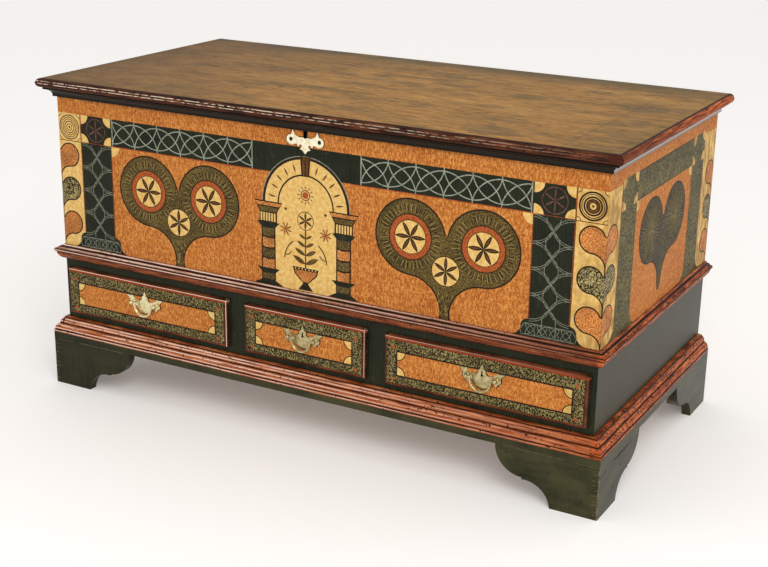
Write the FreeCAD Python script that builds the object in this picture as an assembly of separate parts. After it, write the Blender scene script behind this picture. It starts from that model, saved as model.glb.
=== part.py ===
"""A painted mule chest: a dovetailed, lidded chest over three drawers, on bracket feet.

Millimetres, +Z up.  The front faces -Y and the right end faces +X.  The origin is the
centre of the whole object's footprint, on the floor.
"""
import FreeCAD, Part
import math
import os

V = FreeCAD.Vector
REACH = 3000.0                      # longer than anything here, for cutting regions
ROUND = 1 - math.cos(math.pi / 4)   # sagitta of a quarter circle, over its radius
EIGHT = 1 / math.cos(math.pi / 8)   # of an eight-sided figure: corners over flats

# ---- the case ---------------------------------------------------------------------
case_width = 1270.0
case_depth = 640.0
board = 20.0                        # front, back and end boards
foot_height = 109.0
frame_thickness = 15.0              # mitred flat frame that the case stands on
bottom_rail_height = 54.0
drawer_opening_height = 93.0
top_rail_height = 28.0
top_rail_depth = 45.0
chest_wall_height = 383.0           # front board, from the top rail to the lid
floor_thickness = 18.0
bottom_thickness = 20.0
housing = 8.0                       # depth of rails, dividers and floor in their boards
divider_width = 59.0
centre_opening = 278.0              # width of the centre drawer's opening

# ---- dovetails --------------------------------------------------------------------
dovetail_slope = 1 / 6.0
tail_share = 0.62                   # of the pitch, at the root of the tail
front_tails = 6
back_tails = 9
drawer_tails = 2

# ---- mouldings --------------------------------------------------------------------
lid_thickness = 22.0
lid_overhang = 32.0
lid_drop = 18.0                     # moulding that hangs below the lid board
lid_gap = 2.0                       # between that moulding and the case
lid_nose_radius = 10.0
lid_seat = 0.3                      # between the lid and the edges it closes on
lid_bead_radius = 2.5
lid_step = 3.0
lid_foot = 5.0
waist_height = 33.0
waist_drop = 2.0                    # below the top of the top rail
waist_overhang = 19.0
waist_nose_radius = 4.5
waist_nose_rise = 21.0
waist_foot = 3.5
waist_reeds = 2
base_height = 34.0
base_overhang = 26.0
base_fillet = 5.0
base_cap = 8.0
base_reeds = 2
quirk = 1.5                         # step beside a reed
reed_bulge = 0.16                   # sagitta of a reed, over its width

# ---- base frame and bracket feet ---------------------------------------------------
frame_inset = 60.0                  # from the case's face to the frame's inner edge
bracket = 20.0
foot_length = 97.0                  # along the floor
foot_hollow = 60.0                  # width of the cavetto
foot_hollow_rise = 47.0
foot_cusp = 4.0                     # upright step over the cavetto
foot_block = 45.0
foot_block_lift = 4.0
rear_slope = 53.0                   # run of the rear board's sloped end

# ---- drawers ----------------------------------------------------------------------
drawer_rear_gap = 30.0              # behind a closed drawer
drawer_side_gap = 1.5
drawer_height_gap = 1.0
drawer_body = 12.0                  # front's thickness inside the opening
lip_proud = 12.0
lip_overlap = 8.0
lip_bottom_overlap = 6.0
lip_gap = 0.3
lip_radius = 6.0
lip_fillet = 1.2                    # step where the flat field stands up
drawer_side = 13.0
drawer_lap = 8.0                    # wood left in front of the drawer's dovetails
drawer_back = 12.0
drawer_top_drop = 5.0               # sides below the top of the front's body
drawer_bottom = 8.0
bottom_groove = 6.0
bottom_lift = 8.0
runner_gap = 0.3
runner_width = 30.0
runner_overlap = 25.0               # of a shared runner under each drawer
guide_height = 22.0
guide_gap = 1.0

# ---- drawer pulls -----------------------------------------------------------------
pull_rise = 7.0                     # post centres above the middle of the front
post_spacing = 62.0
post_shank = 3.6                    # square
post_head_radius = 4.6
post_head_chamfer = 2.4
post_neck_radius = 3.2
post_neck = 3.0
post_nut = 13.0                     # square
post_nut_thickness = 3.0
post_hole_gap = 0.3
plate_thickness = 1.0
bail_radius = 2.1                   # of its pins, to the edges of their eight sides
bail_gap = 0.08                     # running fit of the bail in its posts
bail_half_width = 22.0
bail_arm = 6.0

# ---- locks ------------------------------------------------------------------------
chest_key_radius = 4.0
chest_key_slot = 5.5
chest_key_drop = 12.5               # the slot hangs below the eye
chest_key_depth = 23.0              # the eye below the rim of the chest
drawer_key_radius = 2.6
drawer_key_slot = 3.0
drawer_key_rise = 8.5               # the slot stands above the eye
drawer_key_lift = 4.0               # the eye above the posts of the pull
chest_lock_width = 96.0
chest_lock_height = 58.0
chest_lock_depth = 18.0
chest_lock_recess = 10.0
lock_wall = 2.0
bolt_gap = 0.3
chest_bolt_length = 34.0
chest_bolt_height = 7.0
chest_bolt_thickness = 5.0
chest_bolt_throw = 14.0
catch_width = 5.0
catch_reach = 17.0
catch_thickness = 12.0
catch_toe = 3.0                     # staple's metal below the bolt
catch_slot = 1.0
catch_plate_width = 46.0
catch_plate_depth = 22.0
catch_plate_thickness = 1.6
drawer_lock_width = 44.0
drawer_lock_height = 42.0
drawer_lock_depth = 10.0
drawer_lock_recess = 6.0
drawer_bolt_width = 16.0
drawer_bolt_thickness = 4.0
drawer_bolt_length = 20.0
drawer_bolt_throw = 8.0
mortise_gap = 1.0
escutcheon_drop = 42.0              # its centre below the rim

# ---- lid hinges -------------------------------------------------------------------
hinge_spacing = 800.0
barrel_radius = 7.0
barrel_offset = 8.0                 # axis behind the back of the case
hinge_pin_radius = 3.0
hinge_pin_gap = 0.08
knuckle = 14.0
knuckle_gap = 0.4
strap_width = 32.0
strap_tip = 20.0
strap_length = 300.0
strap_thickness = 3.0
strap_seat_gap = 0.5
leaf_height = 80.0
leaf_thickness = 3.0

# ---- till -------------------------------------------------------------------------
till_width = 118.0
till_board = 12.0
till_depth = 105.0
till_drop = 140.0                   # till lid below the rim
till_floor = 10.0
till_housing = 6.0
till_lid_lip = 6.0
till_lid_gap = 0.4
till_end_gap = 1.0
till_pin_radius = 4.5
till_pin_length = 9.0
till_pin_gap = 0.08

# ---- levels and faces that follow --------------------------------------------------
z_case = foot_height + frame_thickness
z_opening = z_case + bottom_rail_height
z_top_rail = z_opening + drawer_opening_height
z_chest = z_top_rail + top_rail_height
z_rim = z_chest + chest_wall_height
z_lid = z_rim + lid_seat
foot_round = foot_height - foot_hollow_rise - foot_cusp
z_drawer_mid = z_opening + (drawer_opening_height + lip_overlap - lip_bottom_overlap) / 2

half_width = case_width / 2
inner_half = half_width - board
front_reach = lip_gap + lip_proud + plate_thickness + post_neck + post_head_radius * 2
front_reach = max(front_reach, lid_overhang, base_overhang)
rear_reach = barrel_offset + barrel_radius
y_middle = (front_reach - rear_reach) / 2
y_front = y_middle - case_depth / 2
y_back = y_middle + case_depth / 2
y_inner_front = y_front + board
y_inner_back = y_back - board
y_lip = y_front - lip_gap           # back of the drawers' lips
y_field = y_lip - lip_proud         # face of the drawer fronts
y_plate = y_field - plate_thickness
y_drawer_back = y_inner_back - drawer_rear_gap
y_bail = y_plate - post_neck - post_head_radius
side_opening = inner_half - centre_opening / 2 - divider_width


# ---- shapes -----------------------------------------------------------------------
def box(x0, x1, y0, y1, z0, z1):
    """A block between two opposite corners."""
    return Part.makeBox(x1 - x0, y1 - y0, z1 - z0, V(x0, y0, z0))


def rod(start, axis, radius, length):
    """A round bar from a point along an axis."""
    return Part.makeCylinder(radius, length, start, axis)


def face(outline, place):
    """A face from corners (u, v) or (u, v, bulge), where an arc of that sagitta arrives.

    A positive bulge swells to the left of the way the outline runs.
    """
    edges = []
    last = outline[-1]
    for step in outline:
        start, end = V(last[0], last[1], 0), V(step[0], step[1], 0)
        bulge = step[2] if len(step) > 2 else 0
        if bulge:
            along = (end - start).normalize()
            through = (start + end) * 0.5 + V(-along.y, along.x, 0) * bulge
            arc = Part.Arc(place(start.x, start.y), place(through.x, through.y), place(end.x, end.y))
            edges.append(arc.toShape())
        else:
            edges.append(Part.LineSegment(place(start.x, start.y), place(end.x, end.y)).toShape())
        last = step
    return Part.Face(Part.Wire(edges))


def eight_sided(start, way, radius):
    """An eight-sided bar from a point along a level way, measured to its flats."""
    across = V(0, 0, 1).cross(way).normalize()
    turns = [math.pi / 8 * (2 * n + 1) for n in range(8)]
    corners = [(radius * EIGHT * math.cos(a), radius * EIGHT * math.sin(a)) for a in turns]
    return face(corners, lambda u, v: start + across * u + V(0, 0, v)).extrude(way)


def plate_xz(outline, y0, y1, x=0.0, z=0.0):
    """An outline in X and Z, thickened from y0 to y1."""
    return face(outline, lambda u, v: V(x + u, y0, z + v)).extrude(V(0, y1 - y0, 0))


def plate_yz(outline, x0, x1, y=0.0, z=0.0):
    """An outline in Y and Z, thickened from x0 to x1."""
    return face(outline, lambda u, v: V(x0, y + u, z + v)).extrude(V(x1 - x0, 0, 0))


def plate_xy(outline, z0, z1):
    """An outline in X and Y, thickened from z0 to z1."""
    return face(outline, lambda u, v: V(u, v, z0)).extrude(V(0, 0, z1 - z0))


def joined(shapes):
    """One solid from pieces that touch."""
    first, rest = shapes[0], shapes[1:]
    return first.fuse(rest).removeSplitter() if rest else first


def mirrored(shape):
    """The same shape on the other side of the chest."""
    return shape.mirror(V(0, 0, 0), V(1, 0, 0))


def both_halves(right_half):
    """A full outline from its right half, which runs clockwise from top to bottom."""
    left = []
    for near, far in zip(right_half[:-1], right_half[1:]):
        step = [-near[0], near[1]]
        if len(far) > 2:
            step.append(far[2])
        left.append(tuple(step))
    start = right_half[0][:2]
    left = [step for step in reversed(left)]
    return ([start] if start[0] > 0 else []) + right_half[1:] + left


# ---- mitres and dovetails -----------------------------------------------------------
def front_region():
    """What lies in front of the two mitre planes of the front corners."""
    inward = case_depth / 2
    corners = [(-half_width - REACH, y_front - REACH), (half_width + REACH, y_front - REACH),
               (half_width - inward, y_front + inward), (inward - half_width, y_front + inward)]
    return plate_xy(corners, -REACH, REACH)


def run_around(outline, z):
    """A moulding's front, left and right lengths; u is outward from the case, v is up."""
    long_way = 2 * (half_width + REACH)
    front = face(outline, lambda u, v: V(-half_width - REACH, y_front - u, z + v))
    front = front.extrude(V(long_way, 0, 0)).common(front_region())
    right = face(outline, lambda u, v: V(half_width + u, y_front - REACH, z + v))
    right = right.extrude(V(0, y_back - y_front + REACH, 0)).cut(front_region())
    return front, mirrored(right), right


def tails(z0, z1, count, root, tip, near, far, along_x):
    """Dovetails between two heights: they widen from root to tip, and run near to far."""
    pitch = (z1 - z0) / count
    half_root = pitch * tail_share / 2
    half_tip = half_root + abs(tip - root) * dovetail_slope
    shapes = []
    for n in range(count):
        mid = z0 + pitch * (n + 0.5)
        corners = [(root, mid - half_root), (tip, mid - half_tip),
                   (tip, mid + half_tip), (root, mid + half_root)]
        thicken = plate_xz if along_x else plate_yz
        shapes.append(thicken(corners, near, far))
    return shapes


def case_tails(z0, count, near, far):
    """The tails of the front or back board, at its left and right ends."""
    left = tails(z0, z_rim, count, -inner_half, -half_width, near, far, True)
    right = tails(z0, z_rim, count, inner_half, half_width, near, far, True)
    return left + right


# ---- keyholes -----------------------------------------------------------------------
def chest_keyhole(y0, y1):
    """The space of the chest's keyhole: an eight-sided eye over a slot."""
    z = z_rim - chest_key_depth
    eye = eight_sided(V(0, y0, z), V(0, y1 - y0, 0), chest_key_radius)
    half = chest_key_slot / 2
    return eye.fuse(box(-half, half, y0, y1, z - chest_key_drop, z))


def drawer_keyhole(name, y0, y1):
    """The space of a drawer's keyhole: an eight-sided eye under a slot."""
    middle, z = DRAWERS[name][0], pull_height() + drawer_key_lift
    eye = eight_sided(V(middle, y0, z), V(0, y1 - y0, 0), drawer_key_radius)
    half = drawer_key_slot / 2
    return eye.fuse(box(middle - half, middle + half, y0, y1, z, z + drawer_key_rise))


# ---- case ---------------------------------------------------------------------------
def floor_block():
    """The chest's floor, with the edges that sit in the boards."""
    return box(-inner_half - housing, inner_half + housing, y_inner_front - housing,
               y_inner_back + housing, z_chest, z_chest + floor_thickness)


def top_rail_block():
    """The rail over the drawers, before its mortises."""
    return box(-inner_half - housing, inner_half + housing, y_front,
               y_front + top_rail_depth, z_top_rail, z_chest)


def bottom_rail_block():
    """The rail under the drawers."""
    return box(-inner_half - housing, inner_half + housing, y_front, y_inner_front,
               z_case, z_opening)


def divider_block(side):
    """The upright between the centre drawer and a side drawer."""
    x = side * (centre_opening + divider_width) / 2
    return box(x - divider_width / 2, x + divider_width / 2, y_front, y_inner_front,
               z_opening - housing, z_top_rail + housing)


def till_front_block():
    """The till's long board, with the ends that sit in the front and back boards."""
    x = -inner_half + till_width
    z = z_rim - till_drop - till_board - till_lid_gap
    return box(x, x + till_board, y_inner_front - till_housing, y_inner_back + till_housing,
               z - till_depth, z)


def till_bottom_block():
    """The till's bottom, let into the three boards of the chest around it."""
    z = z_rim - till_drop - till_board - till_lid_gap - till_depth
    return box(-inner_half - till_housing, -inner_half + till_width,
               y_inner_front - till_housing, y_inner_back + till_housing, z, z + till_floor)


def till_axis():
    """The point on the till lid's axis at the middle of the chest."""
    return V(-inner_half + till_end_gap + till_board / 2, y_middle,
             z_rim - till_drop - till_board / 2)


def till_pins(radius, length):
    """The round pins on which the till's lid turns, front and back."""
    axis = till_axis()
    front = rod(V(axis.x, y_inner_front + till_end_gap, axis.z), V(0, -1, 0), radius, length)
    back = rod(V(axis.x, y_inner_back - till_end_gap, axis.z), V(0, 1, 0), radius, length)
    return [front, back]


def till_pin_holes():
    """The blind holes for those pins."""
    return till_pins(till_pin_radius + till_pin_gap, till_pin_length + till_end_gap)


def chest_lock_block():
    """The outside of the chest's lock, flush with the rim."""
    y0 = y_inner_front - chest_lock_recess
    half = chest_lock_width / 2
    return box(-half, half, y0, y0 + chest_lock_depth, z_rim - chest_lock_height, z_rim)


def front_board():
    """The chest's front, above the drawers."""
    plain = box(-inner_half, inner_half, y_front, y_inner_front, z_chest, z_rim)
    shape = joined([plain] + case_tails(z_chest, front_tails, y_front, y_inner_front))
    away = [floor_block(), till_front_block(), till_bottom_block(), chest_lock_block(),
            chest_keyhole(y_front, y_inner_front)]
    return shape.cut(away + till_pin_holes())


def hinge_positions():
    """The middles of the two hinges along the back."""
    return [-hinge_spacing / 2, hinge_spacing / 2]


def back_board():
    """The case's back, over its whole height, notched for the hinge straps."""
    plain = box(-inner_half, inner_half, y_inner_back, y_back, z_case, z_rim)
    shape = joined([plain] + case_tails(z_case, back_tails, y_inner_back, y_back))
    room = strap_width / 2 + strap_seat_gap
    depth = strap_thickness + strap_seat_gap
    notches = [box(x - room, x + room, y_inner_back, y_back, z_rim - depth, z_rim)
               for x in hinge_positions()]
    away = [floor_block(), till_front_block(), till_bottom_block()]
    return shape.cut(away + notches + till_pin_holes())


def end_board(side):
    """An end of the case, with the pins of both dovetailed corners."""
    x0, x1 = sorted((side * inner_half, side * half_width))
    shape = box(x0, x1, y_front, y_back, z_case, z_rim)
    away = case_tails(z_chest, front_tails, y_front, y_inner_front)
    away += case_tails(z_case, back_tails, y_inner_back, y_back)
    away += [floor_block(), top_rail_block(), bottom_rail_block(), till_bottom_block()]
    return shape.cut(away)


def drawer_top_rail():
    """The rail over the drawers, mortised for the drawer locks' bolts."""
    away = [divider_block(-1), divider_block(1)]
    for name in LOCKED:
        away.append(drawer_bolt_block(name, mortise_gap, drawer_bolt_throw + mortise_gap))
    return top_rail_block().cut(away)


def drawer_bottom_rail():
    """The rail under the drawers, with the dividers' mortises."""
    return bottom_rail_block().cut([divider_block(-1), divider_block(1)])


def bottom_board():
    """The board that closes the case under the drawers."""
    return box(-inner_half, inner_half, y_inner_front, y_inner_back,
               z_case, z_case + bottom_thickness)


def runner_spans():
    """The left and right edges of the four drawer runners."""
    inner = centre_opening / 2 - runner_overlap
    outer = centre_opening / 2 + divider_width + runner_overlap
    edge = inner_half - runner_width
    return [(-inner_half, -edge), (-outer, -inner), (inner, outer), (edge, inner_half)]


def drawer_runners():
    """Four bearers on the bottom board, which carry the drawers' sides."""
    z0 = z_case + bottom_thickness
    return [box(x0, x1, y_inner_front, y_inner_back, z0, z_opening) for x0, x1 in runner_spans()]


def drawer_guides():
    """Two strips on the shared runners, which keep the drawers straight."""
    half = divider_width / 2 + drawer_side_gap - guide_gap
    middle = (centre_opening + divider_width) / 2
    return [box(x - half, x + half, y_inner_front, y_inner_back, z_opening,
                z_opening + guide_height) for x in (-middle, middle)]


# ---- mouldings ------------------------------------------------------------------------
def reeds(start, end, count, step):
    """Convex reeds from one point of a profile to another, with a level step between."""
    du = (end[0] - start[0] + step * (count - 1)) / count
    dv = (end[1] - start[1]) / count
    bulge = -reed_bulge * math.hypot(du, dv)
    outline = []
    for n in range(count):
        u, v = start[0] + (du - step) * n, start[1] + dv * n
        outline += [(u, v), (u + du, v + dv, bulge)]
    return outline


def lid_profile():
    """Flat top, half-round nose, step, bead and cove; v = 0 is the lid's underside."""
    nose_u = lid_overhang - lid_nose_radius
    nose_end = lid_thickness - 2 * lid_nose_radius
    bead_u = nose_u - lid_step
    bead_end = nose_end - 2 * lid_bead_radius
    cove = bead_end + lid_drop
    return [(lid_gap, -lid_drop), (lid_gap, lid_thickness), (nose_u, lid_thickness),
            (nose_u, nose_end, lid_nose_radius),
            (bead_u, nose_end),
            (bead_u, bead_end, lid_bead_radius),
            (lid_gap + lid_foot, -lid_drop, -ROUND * cove)]


def waist_profile():
    """Reeded slope, half-round nose and a swelling underside; v = 0 is the lower edge."""
    nose_u = waist_overhang - waist_nose_radius
    nose_top = waist_nose_rise + waist_nose_radius
    nose_end = waist_nose_rise - waist_nose_radius
    swell = reed_bulge * math.hypot(nose_u - waist_foot, nose_end)
    outline = [(0, 0), (waist_foot, 0), (nose_u, nose_end, -swell)]
    top = reeds((nose_u - quirk, nose_top), (0, waist_height), waist_reeds, quirk)
    return outline + [(nose_u, nose_top, -waist_nose_radius)] + top


def base_profile():
    """A fillet, two reeds and a small flat cap; v = 0 is the lower edge."""
    start, end = (base_overhang - quirk, base_fillet), (base_cap, base_height - quirk)
    foot = [(0, 0), (base_overhang, 0), (base_overhang, base_fillet)]
    cap = [(base_cap, base_height), (0, base_height)]
    return foot + reeds(start, end, base_reeds, quirk) + cap


# ---- base frame and feet ---------------------------------------------------------------
def base_frame():
    """The frame's front, left, right and back members."""
    section = [(-frame_inset, 0), (base_overhang, 0), (base_overhang, frame_thickness),
               (-frame_inset, frame_thickness)]
    front, left, right = run_around(section, foot_height)
    edge = half_width - frame_inset
    back = box(-edge, edge, y_back - frame_inset, y_back, foot_height, z_case)
    return front, left, right, back


def foot_outline():
    """A bracket, from the corner (u = 0) along the case: cavetto, cusp and ovolo."""
    hollow = (foot_length + foot_hollow, foot_hollow_rise)
    sweep = math.hypot(foot_hollow, foot_hollow_rise)
    top = foot_length + foot_hollow + foot_round
    cusp_top = foot_height - foot_round
    return [(0, foot_height), (0, 0), (foot_length, 0),
            (hollow[0], hollow[1], ROUND * sweep / math.sqrt(2)),
            (hollow[0], cusp_top), (top, foot_height, -ROUND * foot_round)]


def front_foot():
    """The right front foot: two brackets, mitred at the corner."""
    x_out, y_out = half_width + base_overhang, y_front - base_overhang
    shape = foot_outline()
    across = face(shape, lambda u, v: V(x_out - u, y_out, v)).extrude(V(0, bracket, 0))
    along = face(shape, lambda u, v: V(x_out, y_out + u, v)).extrude(V(-bracket, 0, 0))
    return [across.common(front_region()), along.cut(front_region())]


def rear_foot():
    """The right rear foot: a shaped side and a plain sloped board across the back."""
    x_out = half_width + base_overhang
    side = face(foot_outline(), lambda u, v: V(x_out, y_back - u, v)).extrude(V(-bracket, 0, 0))
    slope = [(bracket, foot_height), (bracket, 0), (foot_length, 0),
             (foot_length + rear_slope, foot_height)]
    back = face(slope, lambda u, v: V(x_out - u, y_back - bracket, v)).extrude(V(0, bracket, 0))
    return [side, back]


def foot_blocks():
    """Square glue blocks in the corners of the four feet."""
    x1 = half_width + base_overhang - bracket
    fronts = y_front - base_overhang + bracket
    backs = y_back - bracket - foot_block
    right = [box(x1 - foot_block, x1, y, y + foot_block, foot_block_lift, foot_height)
             for y in (fronts, backs)]
    return right + [mirrored(block) for block in right]


# ---- drawers ----------------------------------------------------------------------------
DRAWERS = {"left": (-(centre_opening / 2 + divider_width + side_opening / 2), side_opening),
           "centre": (0.0, centre_opening),
           "right": (centre_opening / 2 + divider_width + side_opening / 2, side_opening)}
LOCKED = ("centre", "right")


def drawer_sides_span(name):
    """The outer faces of a drawer's sides."""
    middle, opening = DRAWERS[name]
    half = opening / 2 - drawer_side_gap
    return middle - half, middle + half


def drawer_levels():
    """The lower and upper edges of a drawer front's body, and the top of its sides."""
    low = z_opening + runner_gap
    high = z_top_rail - drawer_height_gap
    return low, high, high - drawer_top_drop


def drawer_tail_shapes(name):
    """The tails of both sides, which enter the front from behind."""
    x0, x1 = drawer_sides_span(name)
    low, _, top = drawer_levels()
    root, tip = y_lip + drawer_body, y_field + drawer_lap
    left = tails(low, top, drawer_tails, root, tip, x0, x0 + drawer_side, False)
    right = tails(low, top, drawer_tails, root, tip, x1 - drawer_side, x1, False)
    return left, right


def drawer_bottom_panel(name):
    """The drawer's bottom, in grooves of the front and sides and under the back."""
    x0, x1 = drawer_sides_span(name)
    edge = drawer_side - bottom_groove
    low = drawer_levels()[0] + bottom_lift
    return box(x0 + edge, x1 - edge, y_lip + drawer_body - bottom_groove,
               y_drawer_back, low, low + drawer_bottom)


def drawer_front(name):
    """The lipped front, its thumbnail edge worked all round."""
    middle, opening = DRAWERS[name]
    x0, x1 = drawer_sides_span(name)
    low, high, _ = drawer_levels()
    body = box(x0, x1, y_lip, y_lip + drawer_body, low, high)
    half = opening / 2 + lip_overlap
    bottom, top = z_opening - lip_bottom_overlap, z_top_rail + lip_overlap
    lip = box(middle - half, middle + half, y_field + lip_fillet, y_lip, bottom, top)
    rounded = [edge for edge in lip.Edges
               if edge.BoundBox.YMax < y_field + lip_fillet + lip_radius]
    lip = lip.makeFillet(lip_radius, rounded)
    inset = lip_radius + lip_fillet
    field = box(middle - half + inset, middle + half - inset, y_field, y_field + lip_fillet,
                bottom + inset, top - inset)
    shape = joined([body, lip, field])
    left, right = drawer_tail_shapes(name)
    away = left + right + [drawer_bottom_panel(name)] + post_holes(name)
    if name in LOCKED:
        away += [drawer_lock_block(name), drawer_keyhole(name, y_field, y_lip + drawer_body)]
    return shape.cut(away)


def drawer_sides(name):
    """The two sides, each with its tails at the front."""
    x0, x1 = drawer_sides_span(name)
    low, _, top = drawer_levels()
    y0, y1 = y_lip + drawer_body, y_drawer_back
    left_tails, right_tails = drawer_tail_shapes(name)
    left = joined([box(x0, x0 + drawer_side, y0, y1, low, top)] + left_tails)
    right = joined([box(x1 - drawer_side, x1, y0, y1, low, top)] + right_tails)
    away = [drawer_bottom_panel(name)] + drawer_back_tails(name)
    return [left.cut(away), right.cut(away)]


def drawer_back_levels():
    """The lower and upper edges of a drawer's back, which stands on the bottom."""
    low, _, top = drawer_levels()
    return low + bottom_lift + drawer_bottom, top


def drawer_back_tails(name):
    """The tails at the two ends of a drawer's back."""
    x0, x1 = drawer_sides_span(name)
    z0, z1 = drawer_back_levels()
    y0, y1 = y_drawer_back - drawer_back, y_drawer_back
    left = tails(z0, z1, drawer_tails, x0 + drawer_side, x0, y0, y1, True)
    right = tails(z0, z1, drawer_tails, x1 - drawer_side, x1, y0, y1, True)
    return left + right


def drawer_back_board(name):
    """The drawer's back."""
    x0, x1 = drawer_sides_span(name)
    z0, z1 = drawer_back_levels()
    plain = box(x0 + drawer_side, x1 - drawer_side, y_drawer_back - drawer_back,
                y_drawer_back, z0, z1)
    return joined([plain] + drawer_back_tails(name))


# ---- drawer pulls -------------------------------------------------------------------------
# Right half of the pull's plate, clockwise from the top, about the middle of its posts.
PULL_HALF = [
    (0, 27.5), (3.2, 20), (2.6, 18), (8, 11, 1.5),  # finial and its shoulder
    (18, 5.5, -3.0), (33, 15, -2.5),                # scoop, up to the wing
    (37, 13.5), (48.5, 14),                         # wing tip
    (39.5, 5), (41, -2), (35, -7.5, 1.4),           # lower lobes of the wing
    (30, -15), (25, -8), (21, -6.5),
    (0, -23, 4.6),                                  # round foot of the shield
]


def pull_height():
    """The height of the posts of the pulls."""
    return z_drawer_mid + pull_rise


def post_places(name):
    """The two posts of a drawer's pull."""
    middle = DRAWERS[name][0]
    return [middle - post_spacing / 2, middle + post_spacing / 2]


def post_holes(name):
    """The square holes that the posts pass through."""
    half, z = post_shank / 2 + post_hole_gap, pull_height()
    return [box(x - half, x + half, y_plate, y_lip + drawer_body, z - half, z + half)
            for x in post_places(name)]


def pull_post(x):
    """A cast post: eight-sided neck and head, square shank and the nut behind the front."""
    z = pull_height()
    back = y_lip + drawer_body
    tip, heel = y_bail - post_head_radius, y_bail + post_head_radius
    head = eight_sided(V(x, tip, z), V(0, heel - tip, 0), post_head_radius)
    ends = [edge for edge in head.Edges if edge.BoundBox.YLength < post_head_radius]
    head = head.makeChamfer(post_head_chamfer, ends)
    neck = eight_sided(V(x, y_bail, z), V(0, y_plate - y_bail, 0), post_neck_radius)
    half, nut = post_shank / 2, post_nut / 2
    shank = box(x - half, x + half, y_plate, back, z - half, z + half)
    fixing = box(x - nut, x + nut, back, back + post_nut_thickness, z - nut, z + nut)
    reach = 2 * post_head_radius
    hole = eight_sided(V(x - reach, y_bail, z), V(2 * reach, 0, 0), bail_radius + bail_gap)
    return joined([head, neck, shank, fixing]).cut(hole)


def pull_plate(name):
    """The cut brass plate of a pull."""
    middle = DRAWERS[name][0]
    plate = plate_xz(both_halves(PULL_HALF), y_plate, y_field, middle, pull_height())
    away = post_holes(name)
    if name in LOCKED:
        away.append(drawer_keyhole(name, y_plate, y_field))
    return plate.cut(away)


def bail(name):
    """The drop handle: a flat half ring with two arms, and pins outward into the posts."""
    middle, z = DRAWERS[name][0], pull_height()
    half = bail_radius / EIGHT
    inner, outer = bail_half_width - half, bail_half_width + half
    ring = [(-outer, half), (-outer, -bail_arm), (outer, -bail_arm, -outer), (outer, half),
            (inner, half), (inner, -bail_arm), (-inner, -bail_arm, inner), (-inner, half)]
    pieces = [plate_xz(ring, y_bail - half, y_bail + half, middle, z)]
    for side in (-1, 1):
        tip = middle + side * (post_spacing / 2 + post_head_radius / 2)
        way = V(middle + side * bail_half_width - tip, 0, 0)
        pieces.append(eight_sided(V(tip, y_bail, z), way, half))
    return joined(pieces)


# ---- drawer locks ---------------------------------------------------------------------------
def drawer_lock_top():
    """The top of a drawer lock, flush with its drawer front's body."""
    return drawer_levels()[1]


def drawer_lock_block(name):
    """The outside of a drawer's lock."""
    middle = DRAWERS[name][0]
    top = drawer_lock_top()
    y0 = y_lip + drawer_body - drawer_lock_recess
    return box(middle - drawer_lock_width / 2, middle + drawer_lock_width / 2,
               y0, y0 + drawer_lock_depth, top - drawer_lock_height, top)


def drawer_bolt_block(name, grow=0.0, lift=0.0):
    """The bolt at rest, just below the top of its lock, grown or stretched upward."""
    middle = DRAWERS[name][0]
    top = drawer_lock_top() - bolt_gap
    y = y_lip + drawer_body - drawer_lock_recess + drawer_lock_depth / 2
    half = drawer_bolt_width / 2 + grow
    return box(middle - half, middle + half, y - drawer_bolt_thickness / 2 - grow,
               y + drawer_bolt_thickness / 2 + grow, top - drawer_bolt_length - grow,
               top + lift + drawer_height_gap + bolt_gap)


def drawer_bolt(name):
    """The bolt of a drawer's lock, drawn back."""
    return drawer_bolt_block(name, 0.0, -drawer_height_gap - bolt_gap)


def drawer_lock_case(name):
    """The lock's iron box, with its bolt's way and a keyhole in its front."""
    y0 = y_lip + drawer_body - drawer_lock_recess
    way = drawer_bolt_block(name, bolt_gap, drawer_lock_height)
    hole = drawer_keyhole(name, y0, y0 + drawer_lock_depth - lock_wall)
    return drawer_lock_block(name).cut([way, hole])


# ---- chest lock -----------------------------------------------------------------------------
def chest_bolt_place():
    """The middle of the chest lock's bolt, across the chest and up, at rest."""
    x = -catch_width / 2 - chest_bolt_length / 2 - catch_slot
    return x, z_lid - catch_reach + catch_toe + chest_bolt_height / 2


def chest_lock_middle():
    """The plane in which the chest lock's bolt and the lid's catch work."""
    return y_inner_front - chest_lock_recess + chest_lock_depth / 2


def chest_bolt_block(grow=0.0, throw=0.0):
    """The bolt at rest, grown all round or stretched to the right."""
    x, z = chest_bolt_place()
    y = chest_lock_middle()
    half, high = chest_bolt_length / 2 + grow, chest_bolt_height / 2 + grow
    thick = chest_bolt_thickness / 2 + grow
    return box(x - half, x + half + throw, y - thick, y + thick, z - high, z + high)


def chest_lock_case():
    """The lock's iron box: a slot for the catch, the bolt's way and a keyhole."""
    y = chest_lock_middle()
    half = catch_width / 2 + catch_slot
    thick = catch_thickness / 2 + catch_slot
    slot = box(-half, half, y - thick, y + thick, z_lid - catch_reach - catch_slot, z_lid)
    way = chest_bolt_block(bolt_gap, chest_bolt_throw + catch_width)
    y0 = y_inner_front - chest_lock_recess
    hole = chest_keyhole(y0, y0 + chest_lock_depth - lock_wall)
    return chest_lock_block().cut([slot, way, hole])


def catch_plate_block():
    """The catch's plate, let into the underside of the lid."""
    y = chest_lock_middle()
    half, deep = catch_plate_width / 2, catch_plate_depth / 2
    return box(-half, half, y - deep, y + deep, z_lid, z_lid + catch_plate_thickness)


def lock_catch():
    """The staple under the lid that drops into the chest's lock."""
    y = chest_lock_middle()
    staple = box(-catch_width / 2, catch_width / 2, y - catch_thickness / 2,
                 y + catch_thickness / 2, z_lid - catch_reach, z_lid)
    eye = chest_bolt_block(2 * bolt_gap, chest_bolt_throw + catch_width)
    return joined([catch_plate_block(), staple]).cut(eye)


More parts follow.
